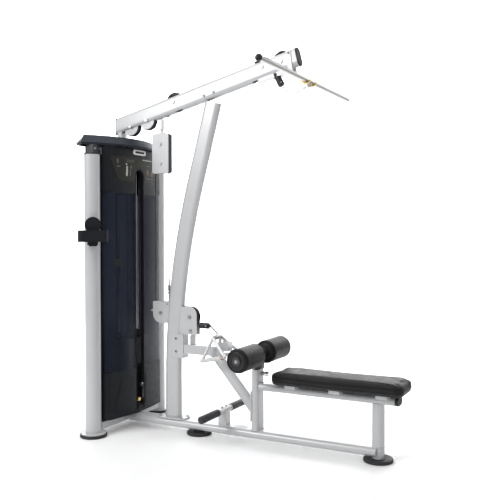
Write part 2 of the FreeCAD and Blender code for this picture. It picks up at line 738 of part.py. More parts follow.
def wrap(centre, first, last, radius=None):
    """An arc about a centre between two unit directions, the short way round."""
    radius = LINE if radius is None else radius
    middle = (first + last)
    if middle.Length < 1e-6:
        raise ValueError("a half turn needs a middle direction")
    middle.normalize()
    return Part.Arc(centre + first * radius, centre + middle * radius, centre + last * radius).toShape()


def straight(start, end):
    return Part.LineSegment(start, end).toShape()


def pipe(edges, radius):
    """A round bar or cable along joined edges, as one solid."""
    wire = Part.Wire(edges)
    start = edges[0].Vertexes[0].Point if edges[0].Orientation == "Forward" else edges[0].Vertexes[-1].Point
    heading = edges[0].tangentAt(edges[0].FirstParameter)
    ring = Part.Wire(Part.Circle(start, heading, radius).toShape())
    made = wire.makePipeShell([ring], True, True)
    if not made.isValid() or abs(made.Volume - math.pi * radius ** 2 * wire.Length) > 0.02 * made.Volume:
        raise RuntimeError("a pipe came out with the wrong volume")
    return made


tower_a, tower_b = at("tower_pulley"), at("second_pulley")
tower_run = (tower_b - tower_a).normalize()
tower_up = over(tower_run)
boom_p, nose_p = at("boom_pulley"), at("nose_pulley")
boom_run = (nose_p - boom_p).normalize()
boom_up = over(boom_run)
DROP_ANGLE = math.radians(62.7)
drop = Vector(math.cos(DROP_ANGLE), 0, -math.sin(DROP_ANGLE))
drop_side = over(drop)
STATIC_DROP = 30
tower_cable = pipe([wrap(tower_a, AHEAD * -1, tower_up),
                    straight(tower_a + tower_up * LINE, tower_b + tower_up * LINE),
                    wrap(tower_b, tower_up, AHEAD)], CABLE)
nose_leave = nose_p + drop_side * LINE
upper_join = Vector(dim("block_x") + LINE, 0, dim("second_pulley_z"))
boom_cable = pipe([straight(upper_join, boom_p - AHEAD * LINE), wrap(boom_p, AHEAD * -1, boom_up),
                   straight(boom_p + boom_up * LINE, nose_p + boom_up * LINE),
                   wrap(nose_p, boom_up, drop_side),
                   straight(nose_leave, nose_leave + drop * STATIC_DROP)], CABLE)
shaped("lat_cable", Part.makeCompound([tower_cable, boom_cable]))

# a white shoe and a black strip under the nose, with room for the stopper that rests against them
SHOE_START, SHOE_END, SHOE_HALF, SHOE_DEEP, STRIP_DEEP = 918, 1088, 20, 9, 5


def under_boom(depth_from, depth_to, half):
    """A block under the boom, between two depths measured along the boom's normal."""
    corner = Vector(SHOE_START, 0,
                    dim("boom_under_z") + SHOE_START * math.tan(math.radians(dim("boom_slope"))))
    length = (SHOE_END - SHOE_START) / axis.x
    start = corner - normal * depth_to - Vector(0, half, 0)
    profile = Part.makePolygon([start, start + axis * length,
                                start + axis * length + normal * (depth_to - depth_from),
                                start + normal * (depth_to - depth_from), start])
    return Part.Face(profile).extrude(Vector(0, 2 * half, 0))


stopper_room = Part.makeCylinder(22, 130, nose_leave + drop * 40, drop)
wheel_room = Part.makeCylinder(60, 28, at("front_pulley") - Vector(0, 14, 0), Vector(0, 1, 0))
boom_solid = boom_form.Shape.translated(Vector(-dim("tower_x"), 0, 0))
shoe = under_boom(-14, SHOE_DEEP, SHOE_HALF).cut([stopper_room, wheel_room, boom_solid])
strip = under_boom(SHOE_DEEP, SHOE_DEEP + STRIP_DEEP, SHOE_HALF - 2).cut(stopper_room)
for name, shape, owner in (("nose_shoe", shoe, side_plates), ("nose_strip", strip, bumpers)):
    feature = doc.addObject("Part::Feature", name)
    feature.Shape = shape
    feature.Placement = Placement(Vector(dim("tower_x"), 0, 0), Rotation())
    owner.append(feature)
keep("boom_side_plates", group("boom_side_plate_set", side_plates))
keep("bumpers", group("bumper_set", bumpers))

low_rear, low_front = at("low_rear"), at("low_front")
low_run = (low_front - low_rear).normalize()
low_down = over(low_run) * -1
adjuster_top = dim("adjuster_top")
ROW_STATIC = 34
row_leave = low_front - UP * LINE
row_fixed = pipe([straight(Vector(low_rear.x - LINE, 0, adjuster_top), low_rear - AHEAD * LINE),
                  wrap(low_rear, AHEAD * -1, low_down),
                  straight(low_rear + low_down * LINE, low_front + low_down * LINE),
                  wrap(low_front, low_down, UP * -1), straight(row_leave, row_leave + AHEAD * ROW_STATIC)],
                  CABLE)
shaped("row_cable", row_fixed)

block_up = Vector(dim("block_x"), 0, dim("block_upper_z"))
block_low = Vector(dim("block_x"), 0, dim("block_lower_z"))
shaped("block_cable_turns", Part.makeCompound([
    pipe([wrap(block_up, AHEAD * -1, UP * -1), wrap(block_up, UP * -1, AHEAD)], CABLE),
    pipe([wrap(block_low, AHEAD * -1, UP), wrap(block_low, UP, AHEAD)], CABLE)]))


def runs(low, high):
    """Two upright cable runs, one each side of the floating block."""
    return Part.makeCompound([pipe([straight(Vector(dim("block_x") + side * LINE, 0, low),
                                             Vector(dim("block_x") + side * LINE, 0, high))], CABLE)
                              for side in (-1, 1)])


shaped("upper_cable_runs", runs(block_up.z, dim("second_pulley_z")))
shaped("lower_cable_runs", runs(adjuster_top, block_low.z))
STACK_TOP = dim("stack_base") + dim("plate_count") * dim("plate_pitch")
FITTING_TOP = STACK_TOP + dim("head_thick") + 82
shaped("stack_cable", pipe([straight(Vector(0, 0, FITTING_TOP), Vector(0, 0, tower_a.z))], CABLE))

adjuster = fuse("cable_adjuster_set", [
    rod_z("adjuster_barrel", "ear_x", "0", "15", "ear_z + 77", "adjuster_top - 34"),
    rod_z("adjuster_neck", "ear_x", "0", "9", "adjuster_top - 34", "adjuster_top"),
    rod_z("adjuster_thread", "ear_x", "0", "9", "ear_z + 9", "ear_z + 77"),
    rod_z("adjuster_lock_nut", "ear_x", "0", "17", "ear_z + 61", "ear_z + 71"),
    rod_y("adjuster_eye", "ear_x", "ear_z", "22", "-9", "9"),
    rod_y("adjuster_pin", "ear_x", "ear_z", "9", "-plate_gap/2 - plate_thick - 5",
          "plate_gap/2 + plate_thick + 5")])
keep("cable_adjuster", cut("adjuster_trimmed", adjuster, [mast_form]))

# ---------------------------------------------------------------- weight stack
stack_top = "stack_base + plate_count*plate_pitch"
shaft_holes = [rod_z("stack_rod_hole_%d" % n, "0", sign + "rod_y", "rod_dia + 2*rod_play", "0", "900")
               for n, sign in enumerate(("-", ""))]
plates = []
for n in range(int(dim("plate_count"))):
    low = "stack_base + %d*plate_pitch" % n
    blank = box("weight_blank_%d" % n, ("0", "0", low + " + (plate_pitch - plate_play)/2"),
                ("stack_deep", "stack_wide", "plate_pitch - plate_play"))
    holes = shaft_holes + [rod_z("weight_bore_%d" % n, "0", "0", "selector_hole", low + " - 1",
                                 low + " + plate_pitch"),
                           rod_x("weight_pin_hole_%d" % n, "0", low + " + (plate_pitch - plate_play)/2",
                                 "pin_hole",
                                 "-stack_deep/2 - 1", "stack_deep/2 + 1")]
    plates.append(cut("weight_plate_%d" % n, blank, holes))
keep("weight_plates", group("weight_plate_set", plates[int(dim("pin_plate")) - 1:]))
keep("bottom_plate", group("bottom_plate_set", plates[:int(dim("pin_plate")) - 1]))

head_block = rounded("head_block", box("head_blank", ("0", "0", stack_top + " + head_thick/2"),
                                       ("stack_deep", "stack_wide", "head_thick")), 8, runs_along(UP))
head_top = stack_top + " + head_thick"
collars = [rod_z("head_collar_%d" % n, "0", sign + "rod_y", "44", head_top, head_top + " + 46")
           for n, sign in enumerate(("-", ""))]
collars.append(rod_z("head_hub", "0", "0", "38", head_top, head_top + " + 34"))
collars.append(rod_z("head_fitting", "0", "0", "13", head_top + " + 34", head_top + " + 82"))
collars.append(rod_z("selector_rod", "0", "0", "selector_dia", "stack_base + 2", stack_top))
pin_holes = [rod_x("selector_pin_hole_%d" % n, "0",
                   "stack_base + %d*plate_pitch + (plate_pitch - plate_play)/2" % n,
                   "pin_hole", "-40", "40") for n in range(int(dim("plate_count")))]
keep("stack_head", cut("stack_head_bored", fuse("stack_head_set", [head_block] + collars),
                       shaft_holes + pin_holes))

pin_z = "stack_base + (pin_plate - 1)*plate_pitch + (plate_pitch - plate_play)/2"
knob = rounded("pin_knob", rod_x("pin_knob_blank", "0", pin_z, "25", "stack_deep/2 + 9", "stack_deep/2 + 35"),
               5,
               lambda edge: isinstance(edge.Curve, Part.Circle))
keep("selector_pin", fuse("selector_pin_set", [
    rod_x("pin_shank", "0", pin_z, "pin_dia", "-stack_deep/2 + 6", "stack_deep/2 + 10"),
    rod_x("pin_collar", "0", pin_z, "17", "stack_deep/2 + 1", "stack_deep/2 + 9"), knob]))

rods = [rod_z("guide_rod_%d" % n, "0", sign + "rod_y", "rod_dia", "rod_foot", "head_cross_z + cross_tall")
        for n, sign in enumerate(("-", ""))]
keep("guide_rods", group("guide_rod_set", rods))


# ---------------------------------------------------------------- tower covers
def bowed(name, low, high, inset):
    """A block with a bowed front, rounded front corners and an open rear, moved in by an inset."""
    half = "(cover_half - (%s))" % inset
    drum = rod_z(name + "_drum", "cover_front - bow_radius", "0", "2*(bow_radius - (%s))" % inset, low, high)
    blank = solid("Box", name + "_blank", ("cover_rear", "-" + half, low),
                  Length="cover_front - cover_rear + 50",
                  Width="2*" + half, Height="(%s) - (%s)" % (high, low))
    body = common(name + "_common", blank, drum)
    tower = dim("tower_x")

    def front_corner(edge):
        return runs_along(UP)(edge) and edge.CenterOfMass.x - tower > 0
    return rounded(name, body, dim("cover_corner") - 2, front_corner)


def cover(name, low, high, inset):
    outer = bowed(name + "_outer", low, high, inset)
    inner = bowed(name + "_inner", low + " - 1", high + " + 1", inset + " + cover_thick")
    return cut(name, outer, [inner])


slot_box = box("slot_box", ("cover_front", "0", "(slot_top + lower_cover_z + 20)/2"),
               ("120", "slot_wide", "slot_top - lower_cover_z - 20"))
slot_round = rod_x("slot_round", "0", "slot_top", "slot_wide", "cover_front - 60", "cover_front + 60")
head_notch = box("head_notch", ("-10", "0", "head_cross_z + 40"),
                 ("cross_wide + 22", "2*cover_half + 20", "84"))
for label, low, high, inset, extra in (("lower_cover", "lower_cover_z", "window_z - 1", "0", []),
                                       ("window", "window_z", "upper_cover_z", "window_inset", []),
                                       ("upper_cover", "upper_cover_z + 1", "upper_cover_top", "0",
                                        [head_notch])):
    keep(label, cut(label + "_cut", cover(label + "_shell", low, high, inset),
                    [slot_box, slot_round] + extra))

rear_sheet = solid("Box", "rear_sheet", ("cover_rear - 3", "-cover_half", "lower_cover_z"), Length="3",
                   Width="2*cover_half", Height="upper_cover_top - lower_cover_z")
keep("rear_cover", group("rear_cover_set", [rear_sheet]))


def cap_outline(inset, height):
    """The top cap's outline at one height, moved in by an inset: bowed front, straight rear, short ends."""
    half, front, rear = dim("cap_half") - inset, dim("cap_front") - inset, dim("cap_rear") + inset / 2
    bow = dim("cap_bow") - inset
    centre = front - bow
    side_x = centre + math.sqrt(bow ** 2 - half ** 2)
    corners = [Vector(rear, -half + 50, height), Vector(rear, half - 50, height),
               Vector(side_x, half, height),
               Vector(side_x, -half, height)]
    bend = Part.Arc(corners[2], Vector(front, 0, height), corners[3]).toShape()
    return Part.Wire([straight(corners[0], corners[1]), straight(corners[1], corners[2]), bend,
                      straight(corners[3], corners[0])])


cap_low, cap_high = dim("cap_under"), dim("cap_under") + dim("cap_thick")
cap_solid = Part.makeLoft([cap_outline(2, cap_low), cap_outline(0, cap_low + 12),
                           cap_outline(dim("cap_slope"), cap_high)],
                          True, True)
CAP_WALL = 4
cap_hollow = Part.makeLoft([cap_outline(CAP_WALL + 2, cap_low - 1), cap_outline(CAP_WALL, cap_low + 11),
                            cap_outline(dim("cap_slope") + CAP_WALL, cap_high - CAP_WALL)], True, True)
cable_port = Part.makeCylinder(14, 200, Vector(0, 0, cap_low - 20))
stand_port = Part.makeBox(30, 46, 200, Vector(-51, -23, cap_low - 20))
shaped("top_cap", cap_solid.cut(cap_hollow).cut([cable_port, stand_port]))

# ---------------------------------------------------------------- accessory holder
HOLDER_SWING = 42.0
tray_y = 0 - dim("upright_dia") / 2 - dim("tray_deep") / 2 - 6
tray_z = dim("holder_z")
long_side, deep, tall = dim("tray_long") + 40, dim("tray_deep"), dim("tray_tall")


def rounded_block(size, centre, radius):
    """A block whose upright edges are rounded."""
    block = Part.makeBox(size[0], size[1], size[2], centre - Vector(*size) * 0.5)
    upright = [edge for edge in block.Edges if runs_along(UP)(edge)]
    return block.makeFillet(radius, upright)


tray = rounded_block((long_side, deep, tall), Vector(0, tray_y, tray_z), 24)
for side in (-1, 1):
    well = rounded_block((long_side / 2 - 12, deep - 8, tall),
                         Vector(side * long_side / 4, tray_y, tray_z + 5), 21)
    tray = tray.cut(well)
DISC_THICK = 12
disc = Part.makeCylinder(dim("disc_dia") / 2, DISC_THICK, Vector(0, tray_y + 12, tray_z + 63),
                         Vector(0, -1, 0))
stem = Part.makeBox(26, 10, 60, Vector(-13, tray_y + 12, tray_z + 10))
grip = Part.makeBox(44, deep / 2 + 10, 24, Vector(-22, tray_y, tray_z - tall / 2 - 24))
saddle = Part.makeBox(60, 30, tall + 18, Vector(-30, tray_y + deep / 2 - 4, tray_z - tall / 2 - 18))
upright_form = Part.makeCylinder(dim("upright_dia") / 2, 400, Vector(0, 0, tray_z - 200))
holder = tray.fuse([disc, stem, grip, saddle]).cut(upright_form)
holder = holder.removeSplitter()
holder.rotate(Vector(0, 0, 0), UP, HOLDER_SWING)
holder.translate(Vector(0, -dim("upright_y"), 0))
shaped("accessory_holder", holder)

# ---------------------------------------------------------------- row arm, strut and handle rest
saddle_block = box("arm_saddle_block", ("mast_x + 36", "0", "arm_z + 15"), ("96", "mast_short + 8", "140"))
arm_bar = box("arm_bar", ("(mast_x + 50 + arm_end)/2", "0", "arm_z"),
              ("arm_end - mast_x - 50", "arm_wide", "arm_tall"))
arm_bore = box("arm_bore", ("(mast_x + 84 + arm_end)/2 + 5", "0", "arm_z"),
               ("arm_end - mast_x - 84 + 10", "arm_wide - 2*wall", "arm_tall - 2*wall"))
arm_lid = box("arm_lid", ("arm_end - 2", "0", "arm_z"), ("4", "arm_wide - 2*wall", "arm_tall - 2*wall"))
arm = cut("arm_tube", fuse("arm_solid", [saddle_block, arm_bar]), [mast_form, arm_bore])

strut_from = Vector(640, 0, dim("arm_z") - dim("arm_tall") / 2 - 2)
strut_to = Vector(dim("post_x") - dim("post_short") / 2 - 8, 0, 200)
strut_line = (strut_to - strut_from)
strut_axis = Vector(strut_line).normalize()
STRUT_TURN = Rotation(over(strut_axis), Vector(0, 1, 0), strut_axis, "ZXY")
strut_tube = oval_tube("strut_tube", "strut_long", "strut_short", "%.1f" % (strut_line.Length + 120))
lead = strut_from - strut_axis * 60
turned(strut_tube, STRUT_TURN, ("%.2f" % lead.x, "0", "%.2f" % lead.z))
arm_space = box("strut_arm_space", ("500", "0", "arm_z - arm_tall/2 + 150"), ("700", "200", "300"))
post_space = box("strut_post_space", ("post_x - post_short/2 - 8 + 100", "0", "200"), ("200", "200", "500"))
strut = cut("strut_trimmed", strut_tube, [arm_space, post_space])
flange = box("strut_flange", ("post_x - post_short/2 - 4", "0", "210"), ("8", "64", "170"))
REST_X, REST_LONG, REST_UP = 664, 64, 32
rest_z = dim("arm_z") + dim("arm_tall") / 2


def cradle_profile(half_low, half_high, low, high):
    points = [Vector(REST_X, -half_high, high), Vector(REST_X, -half_low, low), Vector(REST_X, half_low, low),
              Vector(REST_X, half_high, high)]
    return Part.Face(Part.makePolygon(points + points[:1])).extrude(AHEAD * REST_LONG)


rest = doc.addObject("Part::Feature", "handle_rest_shape")
rest.Shape = cradle_profile(20, 34, rest_z - 20, rest_z + REST_UP).cut(
    cradle_profile(17, 31, rest_z - 16, rest_z + REST_UP + 1)).cut(
    Part.makeBox(40, 60, 60, Vector(dim("arm_end") - 40, -30, rest_z - 60)))
rest.Placement = Placement(Vector(dim("tower_x"), 0, 0), Rotation())
keep("row_arm", group("row_arm_set", [arm, arm_lid, strut, flange, rest]))

# ---------------------------------------------------------------- seat pad
seat_box = solid("Box", "seat_blank", ("seat_start", "-seat_wide/2", "seat_under"),
                 Length="seat_end - seat_start",
                 Width="seat_wide", Height="seat_thick")
seat_rounded = rounded("seat_cornered", seat_box, dim("seat_corner"), runs_along(UP))
doc.recompute()
seat_top_z = dim("seat_under") + dim("seat_thick")


def on_seat_top(edge):
    box_of_edge = edge.BoundBox
    return abs(box_of_edge.ZMin - seat_top_z) < 0.1 and abs(box_of_edge.ZMax - seat_top_z) < 0.1


keep("seat_pad", rounded("seat_softened", seat_rounded, dim("seat_edge"), on_seat_top))

# ---------------------------------------------------------------- thigh rollers
for label, side in (("near_roller", -1), ("far_roller", 1)):
    inner_y, outer_y = ("roller_gap", "roller_end") if side > 0 else ("-roller_end", "-roller_gap")
    foam = rounded(label + "_foam",
                   rod_y(label + "_drum", "roller_x", "roller_z", "roller_dia", inner_y, outer_y), 9,
                   lambda edge: isinstance(edge.Curve, Part.Circle))
    bore = rod_y(label + "_bore", "roller_x", "roller_z", "roller_bore", "-roller_end - 5", "roller_end + 5")
    keep(label, cut(label + "_bored", foam, [bore]))

stem_low, stem_top = "post_top - 150", "roller_z - 34"
stem = rod_z("roller_stem", "post_x", "0", "stem_dia", stem_low, stem_top)
gusset_from = Vector(dim("post_x") - 24, 0, dim("post_top") + 4)
gusset_points = [gusset_from, gusset_from + AHEAD * 58,
                 Vector(dim("roller_x") + 20, 0, dim("roller_z") - 6),
                 Vector(dim("roller_x"), 0, dim("roller_z") + 16),
                 Vector(dim("roller_x") - 22, 0, dim("roller_z") + 2)]
gusset = doc.addObject("Part::Feature", "roller_gusset")
gusset.Shape = Part.Face(Part.makePolygon([p - Vector(0, 15, 0) for p in gusset_points
                                           + gusset_points[:1]])).extrude(
    Vector(0, 30, 0))
gusset.Placement = Placement(Vector(dim("tower_x"), 0, 0), Rotation())
shaft = rod_y("roller_shaft", "roller_x", "roller_z", "shaft_dia", "-roller_end", "roller_end")
shaft_ends = [rod_y("roller_shaft_end_%d" % n, "roller_x", "roller_z", "46", low, high)
              for n, (low, high) in enumerate((("-roller_end - 7", "-roller_end - 1"),
                                               ("roller_end + 1", "roller_end + 7")))]
pegs = [rod_y("roller_end_peg_%d" % n, "roller_x", "roller_z", "14", low, high)
        for n, (low, high) in enumerate((("-roller_end - 3", "-roller_end + 10"),
                                         ("roller_end - 10", "roller_end + 3")))]
keep("roller_post", fuse("roller_post_set", [stem, gusset, shaft] + shaft_ends + pegs))

keep("pop_pin", fuse("pop_pin_set", [
    rod_x("pop_pin_rod", "0", pin_height, "9", pin_face + " - 5.5", pin_face + " + 30"),
    rod_x("pop_pin_knob", "0", pin_height, "26", pin_face + " + 26", pin_face + " + 48")]))
pop_nut = rod_x("pop_pin_nut", "0", pin_height, "22", pin_face, pin_face + " + 20")

# ---------------------------------------------------------------- foot bar
pedestal = box("foot_pedestal", ("foot_bar_x", "0", "(beam_z + beam_tall/2 + foot_bar_z)/2"),
               ("52", "44", "foot_bar_z - beam_z - beam_tall/2"))
bar_form = rod_y("foot_bar_form", "foot_bar_x", "foot_bar_z", "foot_bar_dia", "-foot_bar_half",
                 "foot_bar_half")
foot_tube = cut("foot_tube",
                rod_y("foot_tube_outer", "foot_bar_x", "foot_bar_z", "foot_bar_dia", "-foot_bar_half",
                      "foot_bar_half"),
                [rod_y("foot_tube_bore", "foot_bar_x", "foot_bar_z", "foot_bar_dia - 2*wall",
                       "-foot_bar_half - 1",
                       "foot_bar_half + 1")])
keep("foot_bar", group("foot_bar_set", [foot_tube, cut("foot_pedestal_cut", pedestal, [bar_form])]))
sleeves = []
for n, (low, high) in enumerate((("-foot_bar_half - 4", "-sleeve_inner"),
                                 ("sleeve_inner", "foot_bar_half + 4"))):
    skin = rounded("foot_sleeve_%d_skin" % n,
                   rod_y("foot_sleeve_%d_drum" % n, "foot_bar_x", "foot_bar_z", "sleeve_dia",
                          low, high), 4, lambda edge: isinstance(edge.Curve, Part.Circle))
    sleeves.append(cut("foot_sleeve_%d" % n, skin, [bar_form]))
keep("foot_bar_sleeves", group("foot_sleeve_set", sleeves))

# ---------------------------------------------------------------- lat bar, hooks and chain
bar_centre = Vector(dim("bar_x"), 0, dim("bar_z"))
end_ball = solid("Sphere", "bar_end_ball", ("bar_x", "-bar_half", "bar_z"), Radius="ball_dia/2")
bar_tube = rounded("lat_bar_tube", rod_y("lat_bar_blank", "bar_x", "bar_z", "bar_dia", "-bar_half",
                                         "bar_half + ball_dia/2"), 2.5,
                                         lambda edge: edge.CenterOfMass.y > 500)
lug = solid("Torus", "bar_lug", ("bar_x", "0", "bar_z - bar_dia/2 - 6"), ALONG_Y, Radius1="9", Radius2="3.2")
keep("lat_bar", fuse("lat_bar_set", [bar_tube, lug, end_ball]))

HOOK_GAP = 0.6
wire = dim("hook_wire") / 2
cradle = dim("bar_dia") / 2 + HOOK_GAP + wire
cross_rod = Vector(1128, 0, 2046)
tip_way = Vector(1, 0, 1).normalize()
low_way = Vector(1, 0, -1).normalize()
TIP_LONG = 14
to_bar = bar_centre - cross_rod
dip = math.atan2(-to_bar.z, to_bar.x) + math.asin(cradle / to_bar.Length)
arm_way = Vector(math.cos(dip), 0, -math.sin(dip))
first_way = over(arm_way) * -1


def hook(y):
    """A hook from the cross rod down and under the bar, to a tip that points up and ahead."""
    tip_start = bar_centre + low_way * cradle
    made = pipe([straight(cross_rod, bar_centre + first_way * cradle),
                 wrap(bar_centre, first_way, low_way, cradle),
                 straight(tip_start, tip_start + tip_way * TIP_LONG)],
                wire)
    return made.fuse(Part.makeSphere(wire, tip_start + tip_way * TIP_LONG)).translated(Vector(0, y, 0))


rod_bar = Part.makeCylinder(7, 2 * dim("hook_y") + 16, cross_rod - Vector(0, dim("hook_y") + 8, 0),
                            Vector(0, 1, 0))
hooks = rod_bar.fuse([hook(-dim("hook_y")), hook(dim("hook_y"))])
shaped("lat_bar_hooks", hooks)


def link(centre, along, across, length, width, wire_radius):
    """One chain link: a closed round bar with straight sides and round ends."""
    along, across = Vector(along).normalize(), Vector(across).normalize()
    end = width / 2
    reach = length / 2 - end
    right, left = centre + along * reach, centre - along * reach
    edges = [straight(left + across * end, right + across * end), wrap(right, across, along, end),
             wrap(right, along, across * -1, end), straight(right - across * end, left - across * end),
             wrap(left, across * -1, along * -1, end), wrap(left, along * -1, across, end)]
    return pipe(edges, wire_radius)


LINK_LONG, LINK_WIDE, LINK_WIRE = 15.0, 10.0, 1.5
LINK_STEP = LINK_LONG - 2 * LINK_WIRE - 0.6


def spot_along(points, distance):
    """The point at a distance along a line of straight runs."""
    for here, after in zip(points, points[1:]):
        span = (after - here).Length
        if distance <= span:
            return here + (after - here) * (distance / span)
        distance -= span
    return points[-1]


def chain(points):
    """An even number of links between two points, each a quarter turn from the last."""
    room = sum((b - a).Length for a, b in zip(points, points[1:])) - LINK_LONG
    count = 2 * math.ceil((room / LINK_STEP + 1) / 2)
    made = []
    for n in range(count):
        middle = LINK_LONG / 2 + room * n / (count - 1)
        tail, head = spot_along(points, middle - 6), spot_along(points, middle + 6)
        along = (head - tail).normalize()
        across = over(along) if n % 2 else Vector(0, 1, 0)
        made.append(link((tail + head) * 0.5, along, across, LINK_LONG, LINK_WIDE, LINK_WIRE))
    return made


STOPPER_LONG, STOPPER_RADIUS = 58, 18
STOP_AT = 92
stop_top = nose_leave + drop * STOP_AT


def stopper(start, way, cable_back, length, radius):
    """A rubber sleeve on a cable's end, with the cable's last stretch behind it and an eye ahead."""
    sleeve = Part.makeCylinder(radius, length, start, way)
    sleeve = sleeve.makeFillet(4, [edge for edge in sleeve.Edges if isinstance(edge.Curve, Part.Circle)])
    tail = Part.makeCylinder(CABLE, cable_back, start - way * cable_back, way)
    eye_centre = start + way * (length + 8)
    eye = Part.makeTorus(6, 2, eye_centre, Vector(0, 1, 0))
    neck = Part.makeCylinder(4, 6, start + way * (length - 2), way)
    return sleeve.fuse([neck, tail, eye])


shaped("lat_cable_end", stopper(stop_top, drop, STOP_AT - STATIC_DROP - 0.5, STOPPER_LONG, STOPPER_RADIUS))
lat_eye = stop_top + drop * (STOPPER_LONG + 8)
lat_chain_points = [lat_eye + drop * 10.2, Vector(1076, 0, 1958), Vector(1090, 0, 1946),
                    Vector(1110, 0, 1940),
                    Vector(1132, 0, 1940), Vector(1152, 0, 1948)]
SNAP_WIRE = 2.4
snap_start = Vector(1148, 0, 1946)
snap_end = Vector(dim("bar_x") + 1, 0, dim("bar_z") - dim("bar_dia") / 2 - 7)
carabiner = link((snap_start + snap_end) * 0.5, snap_end - snap_start, Vector(0, 1, 0),
                 (snap_end - snap_start).Length, 18, SNAP_WIRE)
shaped("lat_chain", Part.makeCompound(chain(lat_chain_points) + [carabiner]))

# ---------------------------------------------------------------- row cable end and handle
ROW_SLEEVE_LONG, ROW_SLEEVE_RADIUS = 62, 17
row_start = row_leave + AHEAD * (ROW_STATIC + 26)
row_stop = stopper(row_start, AHEAD, 25.5, ROW_SLEEVE_LONG, ROW_SLEEVE_RADIUS)
row_eye = row_start + AHEAD * (ROW_SLEEVE_LONG + 8)
hub = Vector(640, 0, 579)
row_chain_points = [row_eye + AHEAD * 1.5, Vector(616, 0, 624), Vector(632, 0, 612), Vector(643.6, 0, 600.75)]
shaped("row_cable_end", Part.makeCompound([row_stop] + chain(row_chain_points)))

HANDLE = dim("handle_dia") / 2
HUB_HALF, GRIP_HALF = 45, 92
grip_rear, grip_front = Vector(594, 0, 452), Vector(742, 0, 484)


def bar(start, end, radius):
    way = end - start
    return Part.makeCylinder(radius, way.Length, start, way)


handle = Part.makeCylinder(HANDLE, 2 * HUB_HALF, hub - Vector(0, HUB_HALF, 0), Vector(0, 1, 0))
joints = []
for side in (-1, 1):
    top = hub + Vector(0, side * HUB_HALF, 0)
    rear_end = grip_rear + Vector(0, side * GRIP_HALF, 0)
    front_end = grip_front + Vector(0, side * GRIP_HALF, 0)
    joints += [bar(top, rear_end, HANDLE - 2), bar(rear_end, front_end, HANDLE),
               bar(front_end, top, HANDLE - 2)]
    joints += [Part.makeSphere(HANDLE, point) for point in (top, rear_end, front_end)]
eye_lug = Part.makeTorus(8.4, 2.5, hub + UP * (HANDLE + 6), Vector(1, 0, 0))
shaped("row_handle", handle.fuse(joints + [eye_lug]))

# ---------------------------------------------------------------- end caps and bolts
def oval_block(name, long_side, short_side, length, rotation, place):
    return turned(oval_tube(name, long_side, short_side, length, None), rotation, place)


boom_front = oval_block("boom_front_cap", "boom_tall + 1", "boom_wide + 1", "10", BOOM_TURN,
                        boom_place("boom_front_x + 0.1"))
boom_rear_lid = box("boom_rear_cap",
                    ("boom_rear_x - 2", "0", "boom_under_z + boom_rear_x*tan(boom_slope) + boom_tall/2 + 1"),
                    ("4", "boom_wide - 4", "boom_tall - 2"))
rail_cap = oval_block("rail_end_cap", "rail_wide + 1", "rail_tall + 1", "18", FLAT_ALONG_X,
                      ("rail_end", "0", "rail_z"))
mast_front_cap = box("saddle_cap", ("mast_x + 134.5", "0", "arm_z + 55.5"), ("5", "mast_short + 6", "57"))
keep("tube_end_caps",
     group("end_cap_set", upright_caps + [boom_front, boom_rear_lid, rail_cap, mast_front_cap]))


def button_bolt(name, x, low, z, side="-1"):
    """A domed bolt head lying against a side wall that faces -Y or +Y."""
    head = solid("Sphere", name + "_dome", (x, low, z), Radius="bolt_head_dia/2")
    if side == "-1":
        slab = solid("Box", name + "_slab",
                     ("(%s) - 15" % x, "(%s) - bolt_head_thick" % low, "(%s) - 15" % z), Length="30",
                     Width="bolt_head_thick", Height="30")
    else:
        slab = solid("Box", name + "_slab", ("(%s) - 15" % x, low, "(%s) - 15" % z), Length="30",
                     Width="bolt_head_thick",
                     Height="30")
    return common(name, head, slab)


bolts = []
for side, sign in (("near", "-1"), ("far", "1")):
    for n, (x, wall_y, z) in enumerate((("570", "boom_wide/2", "1972"), ("634", "boom_wide/2", "1988"),
                                        ("mast_x + 36", "mast_short/2 + 4", "arm_z + 60"),
                                        ("mast_x + 36", "mast_short/2 + 4", "arm_z - 16"),
                                        ("1104", "boom_wide/2 + 5", "2156"))):
        bolts.append(button_bolt("%s_bolt_%d" % (side, n), x, sign + "*(%s)" % wall_y, z, sign))
for n, (x, y) in enumerate((("mast_x - 76", "-32"), ("mast_x - 76", "32"), ("mast_x + 76", "-32"),
                            ("mast_x + 76", "32"))):
    bolts.append(rod_z("foot_plate_bolt_%d" % n, x, y, "bolt_head_dia", "mast_foot_z",
                       "mast_foot_z + bolt_head_thick"))
for n, y in enumerate(("-24", "24")):
    shank = rod_z("foot_bar_bolt_%d" % n, "foot_bar_x", y, "bolt_head_dia - 2", "foot_bar_z",
                  "foot_bar_z + foot_bar_dia/2 + bolt_head_thick")
    bolts.append(cut("foot_bar_bolt_%d_head" % n, shank, [bar_form]))
for n, y in enumerate(("-upright_y - 7", "-upright_y + 31", "upright_y - 31", "upright_y + 7")):
    bolts.append(rod_x("head_ear_bolt_%d" % n, y, "upright_top + cap_lip + 28", "13", "25", "31"))
bolts.append(cut("pop_pin_socket", pop_nut, [pop_hole]))
keep("frame_bolts", group("frame_bolt_set", bolts))

# ---------------------------------------------------------------- check and write
doc.recompute()
broken = [obj.Name for obj in doc.Objects if "Invalid" in obj.State or "Error" in obj.State]
if broken:
    raise RuntimeError("these objects failed: " + ", ".join(broken))
for obj in pieces:
    if obj.Shape.isNull() or not obj.Shape.isValid() or not obj.Shape.Solids:
        raise RuntimeError("not a sound solid: " + obj.Label)
for old in os.listdir("parts"):
    os.remove(os.path.join("parts", old))
for obj in pieces:
    obj.Shape.exportStep("parts/%s.step" % obj.Label)
print(len(pieces), "pieces written")
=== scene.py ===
"""Looks for the lat pulldown machine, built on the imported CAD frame."""
import math

import bmesh
import bpy
import numpy as np
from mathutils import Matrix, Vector
from mathutils.bvhtree import BVHTree


